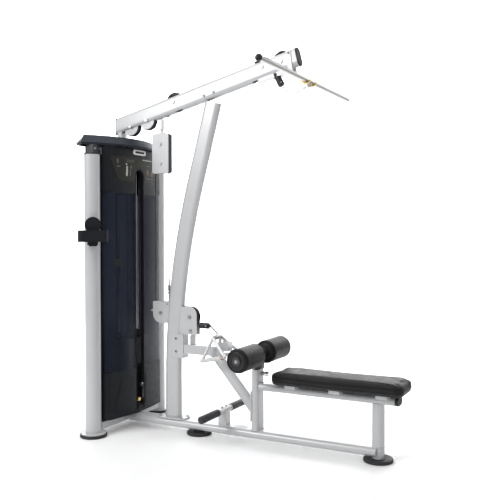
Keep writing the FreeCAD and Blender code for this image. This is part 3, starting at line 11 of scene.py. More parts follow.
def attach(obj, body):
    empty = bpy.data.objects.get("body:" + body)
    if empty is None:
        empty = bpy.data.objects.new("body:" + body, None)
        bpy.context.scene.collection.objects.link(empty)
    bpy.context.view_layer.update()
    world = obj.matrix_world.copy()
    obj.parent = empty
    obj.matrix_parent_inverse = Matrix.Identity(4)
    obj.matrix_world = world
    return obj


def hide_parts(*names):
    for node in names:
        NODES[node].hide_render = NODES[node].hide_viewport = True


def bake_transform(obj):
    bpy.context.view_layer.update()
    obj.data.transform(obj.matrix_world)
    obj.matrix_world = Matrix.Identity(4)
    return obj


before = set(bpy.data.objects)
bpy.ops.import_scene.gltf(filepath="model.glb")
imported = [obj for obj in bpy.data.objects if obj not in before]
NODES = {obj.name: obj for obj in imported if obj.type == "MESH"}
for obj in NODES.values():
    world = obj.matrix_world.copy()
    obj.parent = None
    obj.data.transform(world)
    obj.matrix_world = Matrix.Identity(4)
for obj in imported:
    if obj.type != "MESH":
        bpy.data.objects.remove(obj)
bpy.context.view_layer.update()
TX = -0.8275                       # the tower's axis in the row frame, metres
MM = 0.001
UP = Vector((0, 0, 1))
AHEAD = Vector((1, 0, 0))
SIDE = Vector((0, 1, 0))


def tower(x, y, z):
    """A point given in millimetres from the tower's axis and the floor, in the row frame."""
    return Vector((TX + x * MM, y * MM, z * MM))


# ------------------------------------------------------------------ materials
class Shader:
    """A small helper for one material's node tree."""

    def __init__(self, name, color, rough=0.5, metal=0.0, coat=0.0, alpha=1.0, sheen=0.0, specular=0.5):
        self.mat = bpy.data.materials.new(name)
        self.mat.use_nodes = True
        self.tree = self.mat.node_tree
        self.bsdf = self.tree.nodes["Principled BSDF"]
        self.color = color
        self.rough = rough
        self.put("Base Color", (*color, 1))
        self.put("Roughness", rough)
        self.put("Metallic", metal)
        self.put("Coat Weight", coat)
        self.put("Coat Roughness", 0.12)
        self.put("Alpha", alpha)
        self.put("Sheen Weight", sheen)
        self.put("Specular IOR Level", specular)
        self.coords = self.node("ShaderNodeTexCoord").outputs["Object"]
        self.normal = None

    def node(self, kind, **inputs):
        made = self.tree.nodes.new(kind)
        for key, value in inputs.items():
            made.inputs[key.replace("_", " ")].default_value = value
        return made

    def put(self, socket, value):
        self.bsdf.inputs[socket].default_value = value

    def link(self, out, into):
        self.tree.links.new(out, into)

    def mapped(self, scale):
        """Object coordinates scaled on each axis."""
        mapping = self.node("ShaderNodeMapping")
        mapping.inputs["Scale"].default_value = scale
        self.link(self.coords, mapping.inputs["Vector"])
        return mapping.outputs["Vector"]

    def noise(self, scale, detail=3.0, stretch=(1, 1, 1)):
        tex = self.node("ShaderNodeTexNoise", Scale=scale, Detail=detail, Roughness=0.5)
        self.link(self.mapped(stretch), tex.inputs["Vector"])
        return tex.outputs["Fac"]

    def cells(self, scale, feature="F1"):
        tex = self.node("ShaderNodeTexVoronoi", Scale=scale)
        tex.feature = feature
        self.link(self.mapped((1, 1, 1)), tex.inputs["Vector"])
        return tex.outputs["Distance"]

    def spread(self, value, low, high):
        """A texture's useful middle range, remapped to low and high."""
        made = self.node("ShaderNodeMapRange", From_Min=0.3, From_Max=0.7, To_Min=low, To_Max=high)
        self.link(value, made.inputs["Value"])
        return made.outputs["Result"]

    def vary_color(self, value, amount, tint=(1, 1, 1)):
        """Blend between a darker and a lighter, slightly tinted version of the colour."""
        mix = self.node("ShaderNodeMix")
        mix.data_type = "RGBA"
        dark = [c * (1 - amount) for c in self.color]
        light = [min(1.0, c * (1 + amount) * t) for c, t in zip(self.color, tint)]
        mix.inputs["A"].default_value = (*dark, 1)
        mix.inputs["B"].default_value = (*light, 1)
        self.link(self.spread(value, 0.0, 1.0), mix.inputs["Factor"])
        self.link(mix.outputs["Result"], self.bsdf.inputs["Base Color"])
        return self

    def vary_rough(self, value, amount):
        out = self.spread(value, max(0.0, self.rough - amount), min(1.0, self.rough + amount))
        self.link(out, self.bsdf.inputs["Roughness"])
        return self

    def bump(self, value, strength, depth):
        """Add a bump layer; depth is in metres."""
        made = self.node("ShaderNodeBump", Strength=strength, Distance=depth)
        self.link(value, made.inputs["Height"])
        if self.normal is not None:
            self.link(self.normal, made.inputs["Normal"])
        self.normal = made.outputs["Normal"]
        self.link(self.normal, self.bsdf.inputs["Normal"])
        return self


def powder_coat(name, color, rough, metal):
    made = Shader(name, color, rough, metal, coat=0.25)
    made.vary_color(made.noise(9.0), 0.015, (1.0, 1.0, 1.01))
    made.vary_rough(made.noise(26.0), 0.02)
    made.bump(made.noise(420.0, 1.0), 0.06, 0.0001)
    return made.mat


def moulded(name, color, rough, grain=1500.0, strength=0.25, coat=0.0):
    """Moulded plastic with a fine eroded grain."""
    made = Shader(name, color, rough, coat=coat, specular=0.18)
    made.vary_color(made.noise(7.0), 0.12)
    made.vary_rough(made.noise(40.0), 0.07)
    made.bump(made.cells(grain), strength, 0.00015)
    made.bump(made.noise(5.0, 1.0), 0.04, 0.001)
    return made.mat


def metal(name, color, rough, brushed=None, amount=0.05):
    made = Shader(name, color, rough, metal=1.0)
    stretch = brushed or (1, 1, 1)
    made.vary_color(made.noise(30.0, stretch=stretch), 0.06)
    made.vary_rough(made.noise(70.0, stretch=stretch), amount)
    made.bump(made.noise(420.0, 2.0, stretch=stretch), 0.05, 0.0001)
    return made.mat


def rubbery(name, color, rough=0.62):
    made = Shader(name, color, rough, specular=0.4)
    made.vary_color(made.noise(24.0), 0.18, (1.04, 1.03, 1.0))
    made.vary_rough(made.noise(60.0), 0.08)
    made.bump(made.noise(1300.0, 3.0), 0.2, 0.0002)
    return made.mat


M = {
    "frame_paint": powder_coat("silver_white_powder_coat", (0.52, 0.525, 0.53), 0.32, 0.1),
    "dark_paint": powder_coat("black_powder_coat", (0.03, 0.031, 0.034), 0.38, 0.0),
    "shroud": moulded("charcoal_shroud", (0.0105, 0.0122, 0.0150), 0.48),
    "cap": moulded("blue_gray_cap", (0.018, 0.023, 0.033), 0.40),
    "holder": moulded("holder_plastic", (0.011, 0.0125, 0.015), 0.48),
    "rubber": rubbery("black_rubber", (0.022, 0.0225, 0.024)),
    "stopper": rubbery("stopper_rubber", (0.012, 0.012, 0.013), 0.38),
    "sleeve": rubbery("grip_sleeve", (0.028, 0.029, 0.031), 0.5),
    "pulley": moulded("black_nylon", (0.014, 0.014, 0.015), 0.4),
    "chrome": metal("chrome", (0.72, 0.72, 0.73), 0.09, amount=0.03),
    "bar": metal("lat_bar_steel", (0.33, 0.327, 0.32), 0.32, (1, 0.04, 1)),
    "steel": metal("zinc_steel", (0.40, 0.40, 0.41), 0.28),
    "gold": metal("yellow_zinc", (0.78, 0.56, 0.22), 0.25),
    "iron": powder_coat("stack_enamel", (0.012, 0.012, 0.013), 0.35, 0.0),
}


def cable_material():
    """Steel rope under a black sleeve: a faint lay shows through it."""
    made = Shader("coated_cable", (0.012, 0.012, 0.0125), 0.5, specular=0.2)
    made.vary_color(made.noise(300.0, stretch=(1, 1, 3)), 0.25)
    made.bump(made.noise(900.0, 1.0, stretch=(1, 1, 0.4)), 0.3, 0.0002)
    return made.mat


def vinyl_material():
    made = Shader("black_upholstery_vinyl", (0.0065, 0.0065, 0.0068), 0.48, sheen=0.02, specular=0.22)
    made.vary_color(made.noise(11.0), 0.22, (1.03, 1.02, 1.0))
    made.vary_rough(made.noise(33.0), 0.07)
    made.bump(made.cells(620.0, "DISTANCE_TO_EDGE"), 0.35, 0.00025)
    made.bump(made.noise(1500.0), 0.15, 0.0001)
    return made.mat


def foam_material():
    made = Shader("roller_foam_skin", (0.0055, 0.0055, 0.0058), 0.46, sheen=0.015, specular=0.24)
    made.vary_color(made.noise(20.0), 0.22, (1.03, 1.02, 1.0))
    made.vary_rough(made.noise(48.0), 0.06)
    made.bump(made.cells(900.0), 0.22, 0.0002)
    return made.mat


def smoked_material():
    """A smoked clear sheet, slightly uneven as a formed sheet is."""
    made = Shader("smoked_window", (0.012, 0.016, 0.030), 0.22, alpha=0.60, specular=0.16)
    made.vary_color(made.noise(3.0, stretch=(1, 1, 0.2)), 0.10)
    made.bump(made.noise(3.5, 1.0, stretch=(1, 1, 0.25)), 0.06, 0.002)
    return made.mat


M["handle"] = powder_coat("white_handle", (0.62, 0.62, 0.62), 0.24, 0.2)
M["cable"] = cable_material()
M["vinyl"] = vinyl_material()
M["foam"] = foam_material()
M["window"] = smoked_material()
M["liner"] = moulded("rear_liner", (0.26, 0.29, 0.42), 0.6)
M["placard"] = moulded("placard_film", (0.026, 0.0258, 0.0225), 0.5, 400.0, 0.05)
M["print"] = moulded("placard_print", (0.10, 0.10, 0.085), 0.5, 400.0, 0.05)
M["print_light"] = moulded("placard_light_print", (0.42, 0.42, 0.40), 0.5, 400.0, 0.05)
M["print_warm"] = moulded("placard_warm_print", (0.12, 0.085, 0.055), 0.5, 400.0, 0.05)
M["white"] = moulded("white_badge", (0.80, 0.80, 0.80), 0.35, 500.0, 0.05)
M["ink"] = moulded("dark_ink", (0.015, 0.015, 0.016), 0.4, 500.0, 0.05)

NODE_MATERIAL = {
    "frame_paint": ["near_upright", "far_upright", "tower_crossbars", "base_beam", "rear_post", "front_post",
                    "seat_rail", "mast", "boom", "boom_side_plates", "foot_plates", "floating_block",
                    "low_pulley_brackets", "row_arm", "foot_bar"],
    "dark_paint": ["roller_post"],
    "shroud": ["lower_cover", "upper_cover", "rear_cover", "window"],
    "cap": ["top_cap"],
    "holder": ["accessory_holder"],
    "rubber": ["foot_pads", "tube_end_caps", "bumpers"],
    "sleeve": ["foot_bar_sleeves"],
    "stopper": ["lat_cable_end", "row_cable_end"],
    "chrome": ["guide_rods", "pop_pin"],
    "handle": ["row_handle"],
    "bar": ["lat_bar"],
    "steel": ["pulley_axles", "cable_adjuster", "frame_bolts", "lat_chain"],
    "gold": ["lat_bar_hooks", "selector_pin"],
    "pulley": ["tower_pulley_rear", "tower_pulley_front", "boom_pulley", "nose_pulley_rear",
               "nose_pulley_front", "low_pulley_rear", "low_pulley_front", "block_pulley_upper",
               "block_pulley_lower", "guide_roller"],
    "cable": ["lat_cable", "row_cable", "block_cable_turns", "upper_cable_runs", "lower_cable_runs",
              "stack_cable"],
    "iron": ["weight_plates", "stack_head", "bottom_plate"],
    "vinyl": ["seat_pad"],
    "foam": ["near_roller", "far_roller"],
}


def smooth(mesh, angle=32):
    """Smooth shading that keeps edges sharper than an angle."""
    mesh.polygons.foreach_set("use_smooth", [True] * len(mesh.polygons))
    mesh.set_sharp_from_angle(angle=math.radians(angle))


def paint(node, material):
    data = NODES[node].data
    data.materials.clear()
    data.materials.append(M[material])


for key, names in NODE_MATERIAL.items():
    for name in names:
        paint(name, key)


def repaint_faces(node, material, test):
    """Give the faces that pass a test (centre, normal) a second material."""
    data = NODES[node].data
    data.materials.append(M[material])
    index = len(data.materials) - 1
    for face in data.polygons:
        if test(face.center, face.normal):
            face.material_index = index


WINDOW_FRONT_X = TX + 0.020        # the window's clear face lies ahead of this
EAR_Z, EAR_Y = 1.636, 0.28         # the upper crossbar's ears, beside the uprights
BOOM_BUMPER_Z = 1.7
BLOCK_DISC_Z = (1.7785, 1.7835)    # the disc on the floating block's top
SADDLE_CAP_X = TX + 0.4765
SADDLE_CAP_Z = (0.515, 0.60)
BALL = tower(1214, -600, 1997)
BALL_START_Y, BALL_INSIDE = -0.5825, 0.0145    # faces nearer the ball's centre than this stay steel
repaint_faces("window", "window", lambda at, way: at.x > WINDOW_FRONT_X)
repaint_faces("rear_cover", "liner", lambda at, way: way.x > 0.5)
repaint_faces("tower_crossbars", "dark_paint", lambda at, way: at.z > EAR_Z and abs(at.y) > EAR_Y)
repaint_faces("bumpers", "white", lambda at, way: at.z > BOOM_BUMPER_Z)
repaint_faces("floating_block", "dark_paint", lambda at, way: BLOCK_DISC_Z[0] < at.z < BLOCK_DISC_Z[1])
repaint_faces("tube_end_caps", "frame_paint",
              lambda at, way: abs(at.x - SADDLE_CAP_X) < 0.006 and SADDLE_CAP_Z[0] < at.z < SADDLE_CAP_Z[1])
repaint_faces("lat_bar", "stopper",
              lambda at, way: at.y < BALL_START_Y and (at - BALL).length > BALL_INSIDE)


# ------------------------------------------------------------------ mesh helpers
def piece(name, mesh, material, body, sharp=32):
    """A mesh as a named object that rides on a body."""
    obj = bpy.data.objects.new(name, mesh)
    bpy.context.scene.collection.objects.link(obj)
    mesh.materials.append(M[material])
    smooth(mesh, sharp)
    if body:
        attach(obj, body)
    return obj


def mesh_of(name, verts, faces):
    mesh = bpy.data.meshes.new(name)
    mesh.from_pydata([tuple(v) for v in verts], [], faces)
    mesh.validate()
    return mesh


def frames_along(points, closed=False):
    """Unit tangents and two normals at each point, carried along without twist."""
    count = len(points)
    tangents = []
    for i in range(count):
        if closed:
            tangents.append((points[(i + 1) % count] - points[i - 1]).normalized())
        else:
            tangents.append((points[min(i + 1, count - 1)] - points[max(i - 1, 0)]).normalized())
    seed = UP if abs(tangents[0].z) < 0.9 else AHEAD
    first = tangents[0].cross(seed).normalized()
    made = []
    for tangent in tangents:
        first = (first - tangent * first.dot(tangent)).normalized()
        made.append((tangent, first, tangent.cross(first)))
    return made


def tube_data(points, radius, sides=14, closed=False):
    """Vertices and faces of a round bar along points. radius may be a list."""
    points = [Vector(p) for p in points]
    radii = radius if isinstance(radius, (list, tuple)) else [radius] * len(points)
    verts, faces = [], []
    for at, size, (_, first, second) in zip(points, radii, frames_along(points, closed)):
        for k in range(sides):
            angle = 2 * math.pi * k / sides
            verts.append(at + first * (size * math.cos(angle)) + second * (size * math.sin(angle)))
    rings = len(points)
    for i in range(rings if closed else rings - 1):
        here, after = i * sides, ((i + 1) % rings) * sides
        for k in range(sides):
            faces.append((here + k, here + (k + 1) % sides, after + (k + 1) % sides, after + k))
    if not closed:
        faces.append(tuple(range(sides - 1, -1, -1)))
        faces.append(tuple(range((rings - 1) * sides, rings * sides)))
    return verts, faces


def join_data(parts):
    verts, faces = [], []
    for some, quads in parts:
        start = len(verts)
        verts += some
        faces += [tuple(i + start for i in face) for face in quads]
    return verts, faces


def tube(name, points, radius, material, body, **options):
    return piece(name, mesh_of(name, *tube_data(points, radius, **options)), material, body)


def lathe_data(profile, centre, axis, steps=64):
    """A closed solid of revolution: profile is a list of (radius, distance along the axis)."""
    axis = Vector(axis).normalized()
    seed = UP if abs(axis.z) < 0.9 else AHEAD
    first = axis.cross(seed).normalized()
    second = axis.cross(first)
    verts, faces, rings = [], [], []
    for radius, along in profile:
        at = Vector(centre) + axis * along
        if radius < 1e-7:
            verts.append(at)
            rings.append([len(verts) - 1])
            continue
        start = len(verts)
        for k in range(steps):
            angle = 2 * math.pi * k / steps
            verts.append(at + (first * math.cos(angle) + second * math.sin(angle)) * radius)
        rings.append(list(range(start, start + steps)))
    for here, after in zip(rings, rings[1:]):
        for k in range(steps):
            a, b = here[k % len(here)], here[(k + 1) % len(here)]
            c, d = after[(k + 1) % len(after)], after[k % len(after)]
            face = []
            for i in (a, b, c, d):
                if i not in face:
                    face.append(i)
            if len(face) > 2:
                faces.append(tuple(face))
    return verts, faces


def lathe(name, profile, centre, axis, material, body, steps=64, sharp=32):
    mesh = mesh_of(name, *lathe_data(profile, centre, axis, steps))
    bm = bmesh.new()
    bm.from_mesh(mesh)
    bmesh.ops.recalc_face_normals(bm, faces=bm.faces)
    bm.to_mesh(mesh)
    bm.free()
    return piece(name, mesh, material, body, sharp=sharp)


def rounded(corner_points, radius, steps=6):
    """A closed 2-D outline with each corner rounded."""
    made = []
    count = len(corner_points)
    for i, corner in enumerate(corner_points):
        before, after = corner_points[i - 1], corner_points[(i + 1) % count]
        to_before = (before - corner).normalized()
        to_after = (after - corner).normalized()
        half = math.acos(max(-1, min(1, to_before.dot(to_after)))) / 2
        reach = radius / math.tan(half)
        start, end = corner + to_before * reach, corner + to_after * reach
        middle = corner + (to_before + to_after).normalized() * (radius / math.sin(half))
        for k in range(steps + 1):
            t = k / steps
            spot = start.lerp(end, t)
            made.append(middle + (spot - middle).normalized() * radius)
    return made


# ------------------------------------------------------------------ seat
def evaluated_copy(obj, name):
    graph = bpy.context.evaluated_depsgraph_get()
    return bpy.data.meshes.new_from_object(obj.evaluated_get(graph), depsgraph=graph)


def padded_blank(outline, low, high, edge, crown):
    """A closed pad: an outline in X and Y, lofted with rounded edges and a slightly crowned top."""
    centre = sum(outline, Vector((0, 0))) / len(outline)
    levels = [(low, 0.006), (low + 0.004, 0.0015)]
    steps = 5
    for k in range(steps + 1):
        angle = math.pi / 2 * k / steps
        levels.append((high - edge + edge * math.sin(angle), edge * (1 - math.cos(angle))))
    verts, faces = [], []
    for z, inset in levels:
        for p in outline:
            pulled = p - (p - centre).normalized() * inset
            verts.append(Vector((pulled.x, pulled.y, z)))
    count = len(outline)
    for level in range(len(levels) - 1):
        for k in range(count):
            a, b = level * count + k, level * count + (k + 1) % count
            faces.append((a, b, b + count, a + count))
    bottom = len(verts)
    verts.append(Vector((centre.x, centre.y, low)))
    verts.append(Vector((centre.x, centre.y, high + crown)))
    last = (len(levels) - 1) * count
    for k in range(count):
        faces.append((bottom, (k + 1) % count, k))
        faces.append((bottom + 1, last + k, last + (k + 1) % count))
    return verts, faces


def puff(obj, voxel, pressure, cap, flat_below):
    """Voxel remesh, then a short, capped pressure simulation; points below a height stay put."""
    remesh = obj.modifiers.new("remesh", "REMESH")
    remesh.mode = "VOXEL"
    remesh.voxel_size = voxel
    mesh = evaluated_copy(obj, obj.name)
    obj.modifiers.clear()
    obj.data = mesh
    rest = np.array([v.co for v in mesh.vertices])
    group = obj.vertex_groups.new(name="held")
    group.add([v.index for v in mesh.vertices if v.co.z < flat_below], 1.0, "REPLACE")
    cloth = obj.modifiers.new("cloth", "CLOTH")
    cloth.settings.quality = 4
    cloth.settings.mass = 0.4
    cloth.settings.tension_stiffness = 25
    cloth.settings.compression_stiffness = 25
    cloth.settings.bending_stiffness = 4
    cloth.settings.use_pressure = True
    cloth.settings.uniform_pressure_force = pressure
    cloth.settings.vertex_group_mass = "held"
    cloth.settings.effector_weights.gravity = 0
    cloth.point_cache.frame_start, cloth.point_cache.frame_end = 1, 20
    scene = bpy.context.scene
    for step in range(1, 21):
        scene.frame_set(step)
    moved_mesh = evaluated_copy(obj, obj.name)
    obj.modifiers.clear()
    moved = np.array([v.co for v in moved_mesh.vertices])
    shift = moved - rest
    reach = np.linalg.norm(shift, axis=1, keepdims=True)
    shift *= np.minimum(1, cap / np.maximum(reach, 1e-9))
    mesh.vertices.foreach_set("co", (rest + shift).astype(np.float32).ravel())
    mesh.update()
    scene.frame_set(1)


def outline_between(low, high, inset, radius, steps=8):
    corners = [Vector((low.x + inset, low.y + inset)), Vector((high.x - inset, low.y + inset)),
               Vector((high.x - inset, high.y - inset)), Vector((low.x + inset, high.y - inset))]
    dense = []
    ring = rounded(corners, radius, steps)
    for here, after in zip(ring, ring[1:] + ring[:1]):
        count = max(1, int((after - here).length / 0.012))
        dense += [here.lerp(after, k / count) for k in range(count)]
    return dense


def make_seat():
    low = Vector((TX + 1.022, -0.118, 0.364))
    high = Vector((TX + 1.765, 0.118, 0.430))
    board = 0.012
    outline = outline_between(low, high, 0.004, 0.046)
    blank = padded_blank(outline, low.z + board, high.z - 0.006, 0.020, 0.003)
    mesh = mesh_of("seat_cushion", *blank)
    cushion = piece("seat_cushion", mesh, "vinyl", None, sharp=60)
    puff(cushion, 0.006, 4.0, 0.006, low.z + board + 0.006)
    cushion.data.materials.clear()
    cushion.data.materials.append(M["vinyl"])
    smooth(cushion.data, 70)
    sub = cushion.modifiers.new("subdivision", "SUBSURF")
    sub.levels = sub.render_levels = 1
    graph = bpy.context.evaluated_depsgraph_get()
    tree = BVHTree.FromObject(cushion, graph)
    middle = (low + high) / 2

    def on_side(spot, z):
        out = Vector((spot.x, spot.y, z))
        if abs(spot.x - middle.x) < 0.30:
            inward = Vector((0, 1 if spot.y < middle.y else -1, 0))
        else:
            inward = Vector((middle.x - spot.x, middle.y - spot.y, 0)).normalized()
        hit = tree.ray_cast(out - inward * 0.05, inward, 0.2)
        return hit[0] if hit[0] is not None else out
    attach(cushion, "frame")
    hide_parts("seat_pad")
    seam = [on_side(p, high.z - 0.017) for p in outline]
    welt = tube("seat_seam_welt", seam, 0.0014, "vinyl", "frame", sides=8, closed=True)
    stitches = []
    ring = [on_side(p, high.z - 0.0225) for p in outline]
    total = 0.0
    line = ring + ring[:1]
    step, length = 0.007, 0.0042
    for here, after in zip(line, line[1:]):
        span = (after - here).length
        while total < span:
            if total + length < span:
                way = (after - here).normalized()
                start = here + way * total
                stitches.append(tube_data([start, start + way * length], 0.00045, sides=5))
            total += step
        total -= span
    piece("seat_stitches", mesh_of("seat_stitches", *join_data(stitches)), "vinyl", "frame")
    edge = outline_between(low, high, 0.010, 0.040)
    base = padded_blank(edge, low.z + 0.0005, low.z + board + 0.001, 0.003, 0.0)
    piece("seat_board", mesh_of("seat_board", *base), "rubber", "frame")


make_seat()


# ------------------------------------------------------------------ thigh rollers
ROLLER = tower(922, 0, 507)


def make_roller(name, node, body, side):
    """A foam roller: bellied skin with soft shoulders, a moulded end disc and a stitched end seam."""
    inner, outer, radius = 0.056, 0.280, 0.065
    length = outer - inner
    profile = [(0.0135, 0.004), (0.020, 0.0035), (0.046, 0.0035), (0.049, 0.0010), (0.052, 0.0)]
    for k in range(7):
        angle = math.pi / 2 * k / 6
        profile.append((radius - 0.011 + 0.011 * math.sin(angle) - 0.0005, 0.011 * (1 - math.cos(angle))))
    shoulder = list(profile)
    for k in range(1, 16):
        t = k / 16
        crown = 0.0009 * math.sin(math.pi * t)
        profile.append((radius - 0.0005 + crown * 0.5, 0.011 + (length - 0.022) * t))
    profile += [(r, length - a) for r, a in reversed(shoulder)]
    profile.append(profile[0])
    centre = ROLLER + SIDE * (side * inner)
    foam = lathe(name, profile, centre, SIDE * side, "foam", body, steps=96, sharp=50)
    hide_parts(node)
    for tag, at, way in (("outer", outer, side), ("inner", inner, -side)):
        hub = ROLLER + SIDE * (side * at)
        disc = [(0.0136, -0.0040), (0.0136, 0.0002), (0.0165, 0.0008), (0.0195, 0.0002), (0.0205, -0.0012),
                (0.0400, -0.0012), (0.0415, 0.0006), (0.0455, 0.0006), (0.0475, -0.0006), (0.0480, -0.0034),
                (0.0136, -0.0040)]
        made = lathe(name + "_" + tag + "_disc", disc, hub, SIDE * way, "stopper", body, steps=72)
    for tag, at in (("outer", outer - 0.0125), ("inner", inner + 0.0125)):
        ring = [ROLLER + SIDE * (side * at) + Vector((math.cos(a), 0, math.sin(a))) * (radius + 0.0001)
                for a in (2 * math.pi * k / 96 for k in range(96))]
        seam = tube(name + "_" + tag + "_seam", ring, 0.0007, "foam", body, sides=6, closed=True)


make_roller("near_roller_foam", "near_roller", "near_thigh_roller", -1)
make_roller("far_roller_foam", "far_roller", "far_thigh_roller", 1)


def make_roller_ends():
    """Steel end bolts and washers on the roller shaft, and the shaft's bright chrome middle."""
    for side, tag in ((-1, "near"), (1, "far")):
        face = ROLLER + SIDE * (side * 0.287)
        washer = [(0, 0), (0.0095, 0), (0.0095, 0.0010), (0.0064, 0.0014), (0.0064, 0.0028), (0.0054, 0.0040),
                  (0.0028, 0.0048), (0, 0.0050)]
        lathe(tag + "_shaft_bolt", washer, face, SIDE * side, "steel", "roller_carriage", steps=40)
    sleeve = [(0.0134, -0.034), (0.0150, -0.0335), (0.0155, -0.020), (0.0155, 0.020), (0.0150, 0.0335),
              (0.0134, 0.034)]
    lathe("shaft_middle_sleeve", sleeve, ROLLER, SIDE, "chrome", "roller_carriage", steps=40)


make_roller_ends()


# ------------------------------------------------------------------ cables that stretch
ROPE = 0.0024
STUB_ROPE = 0.00243                # a hair thicker, so that a stub covers the CAD cable's end
LAT_DROP = Vector((0.4586, 0, -0.8886))
LAT_LEAVE = tower(984.65, 0, 2121.0)    # where the lat cable leaves the rear nose pulley


def stretch_tube(name, start, end, radius=ROPE):
    """A straight cable with a ring of points at each end only, so that it stays straight as it stretches."""
    mesh = mesh_of(name, *tube_data([start, end], radius, sides=16))
    obj = piece(name, mesh, "cable", None)
    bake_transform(obj)
    return obj


stack_line = stretch_tube("stack_rope", tower(0, 0, 1830), tower(0, 0, 612))
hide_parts("stack_cable")
for x, tag in ((262 - 48, "tower_side"), (262 + 48, "boom_side")):
    upper = stretch_tube("upper_rope_" + tag, tower(x, 0, 1860), tower(x, 0, 1714))
    lower = stretch_tube("lower_rope_" + tag, tower(x, 0, 905), tower(x, 0, 1598))
    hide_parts("upper_cable_runs")
    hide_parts("lower_cable_runs")


# ------------------------------------------------------------------ tower: panels, badge, placard and knob
BOW = 1.090
FRONT = 0.096
SLOT_HALF = 0.043
SLOT_TOP = 1.525                   # height of the slot arch's centre


def cover_front(y, inset=0.0):
    """How far the bowed front of a cover stands from the tower's axis."""
    return FRONT - BOW + math.sqrt((BOW - inset) ** 2 - y * y)


def cover_panel(name, outline, thick, material, proud=0.0, inset=0.0, radius=0.012, tail=()):
    """A thin panel that follows the bowed front.

    outline is a list of (y, z) corners in metres, which are rounded. tail is a run of further points
    that are kept as they are."""
    corners = [Vector(p) for p in outline]
    shortest = min((a - b).length for a, b in zip(corners, corners[1:] + corners[:1]))
    ring = rounded(corners, min(radius, 0.45 * shortest), 5) + [Vector(p) for p in tail]
    dense = []
    for here, after in zip(ring, ring[1:] + ring[:1]):
        count = max(1, int(abs(after.x - here.x) / 0.02))
        dense += [here.lerp(after, k / count) for k in range(count)]
    bm = bmesh.new()
    face = bm.faces.new([bm.verts.new((0, p.x, p.y)) for p in dense])
    bmesh.ops.triangulate(bm, faces=[face])
    long_edges = [e for e in bm.edges if e.calc_length() > 0.03]
    bmesh.ops.subdivide_edges(bm, edges=long_edges, cuts=2, use_grid_fill=False)
    bmesh.ops.triangulate(bm, faces=bm.faces[:])
    grown = bmesh.ops.extrude_face_region(bm, geom=bm.faces[:])
    front = [v for v in grown["geom"] if isinstance(v, bmesh.types.BMVert)]
    for v in bm.verts:
        v.co.x = TX + cover_front(v.co.y, inset) + proud - thick
    for v in front:
        v.co.x += thick
    bmesh.ops.recalc_face_normals(bm, faces=bm.faces)
    mesh = bpy.data.meshes.new(name)
    bm.to_mesh(mesh)
    bm.free()
    return piece(name, mesh, material, "frame")


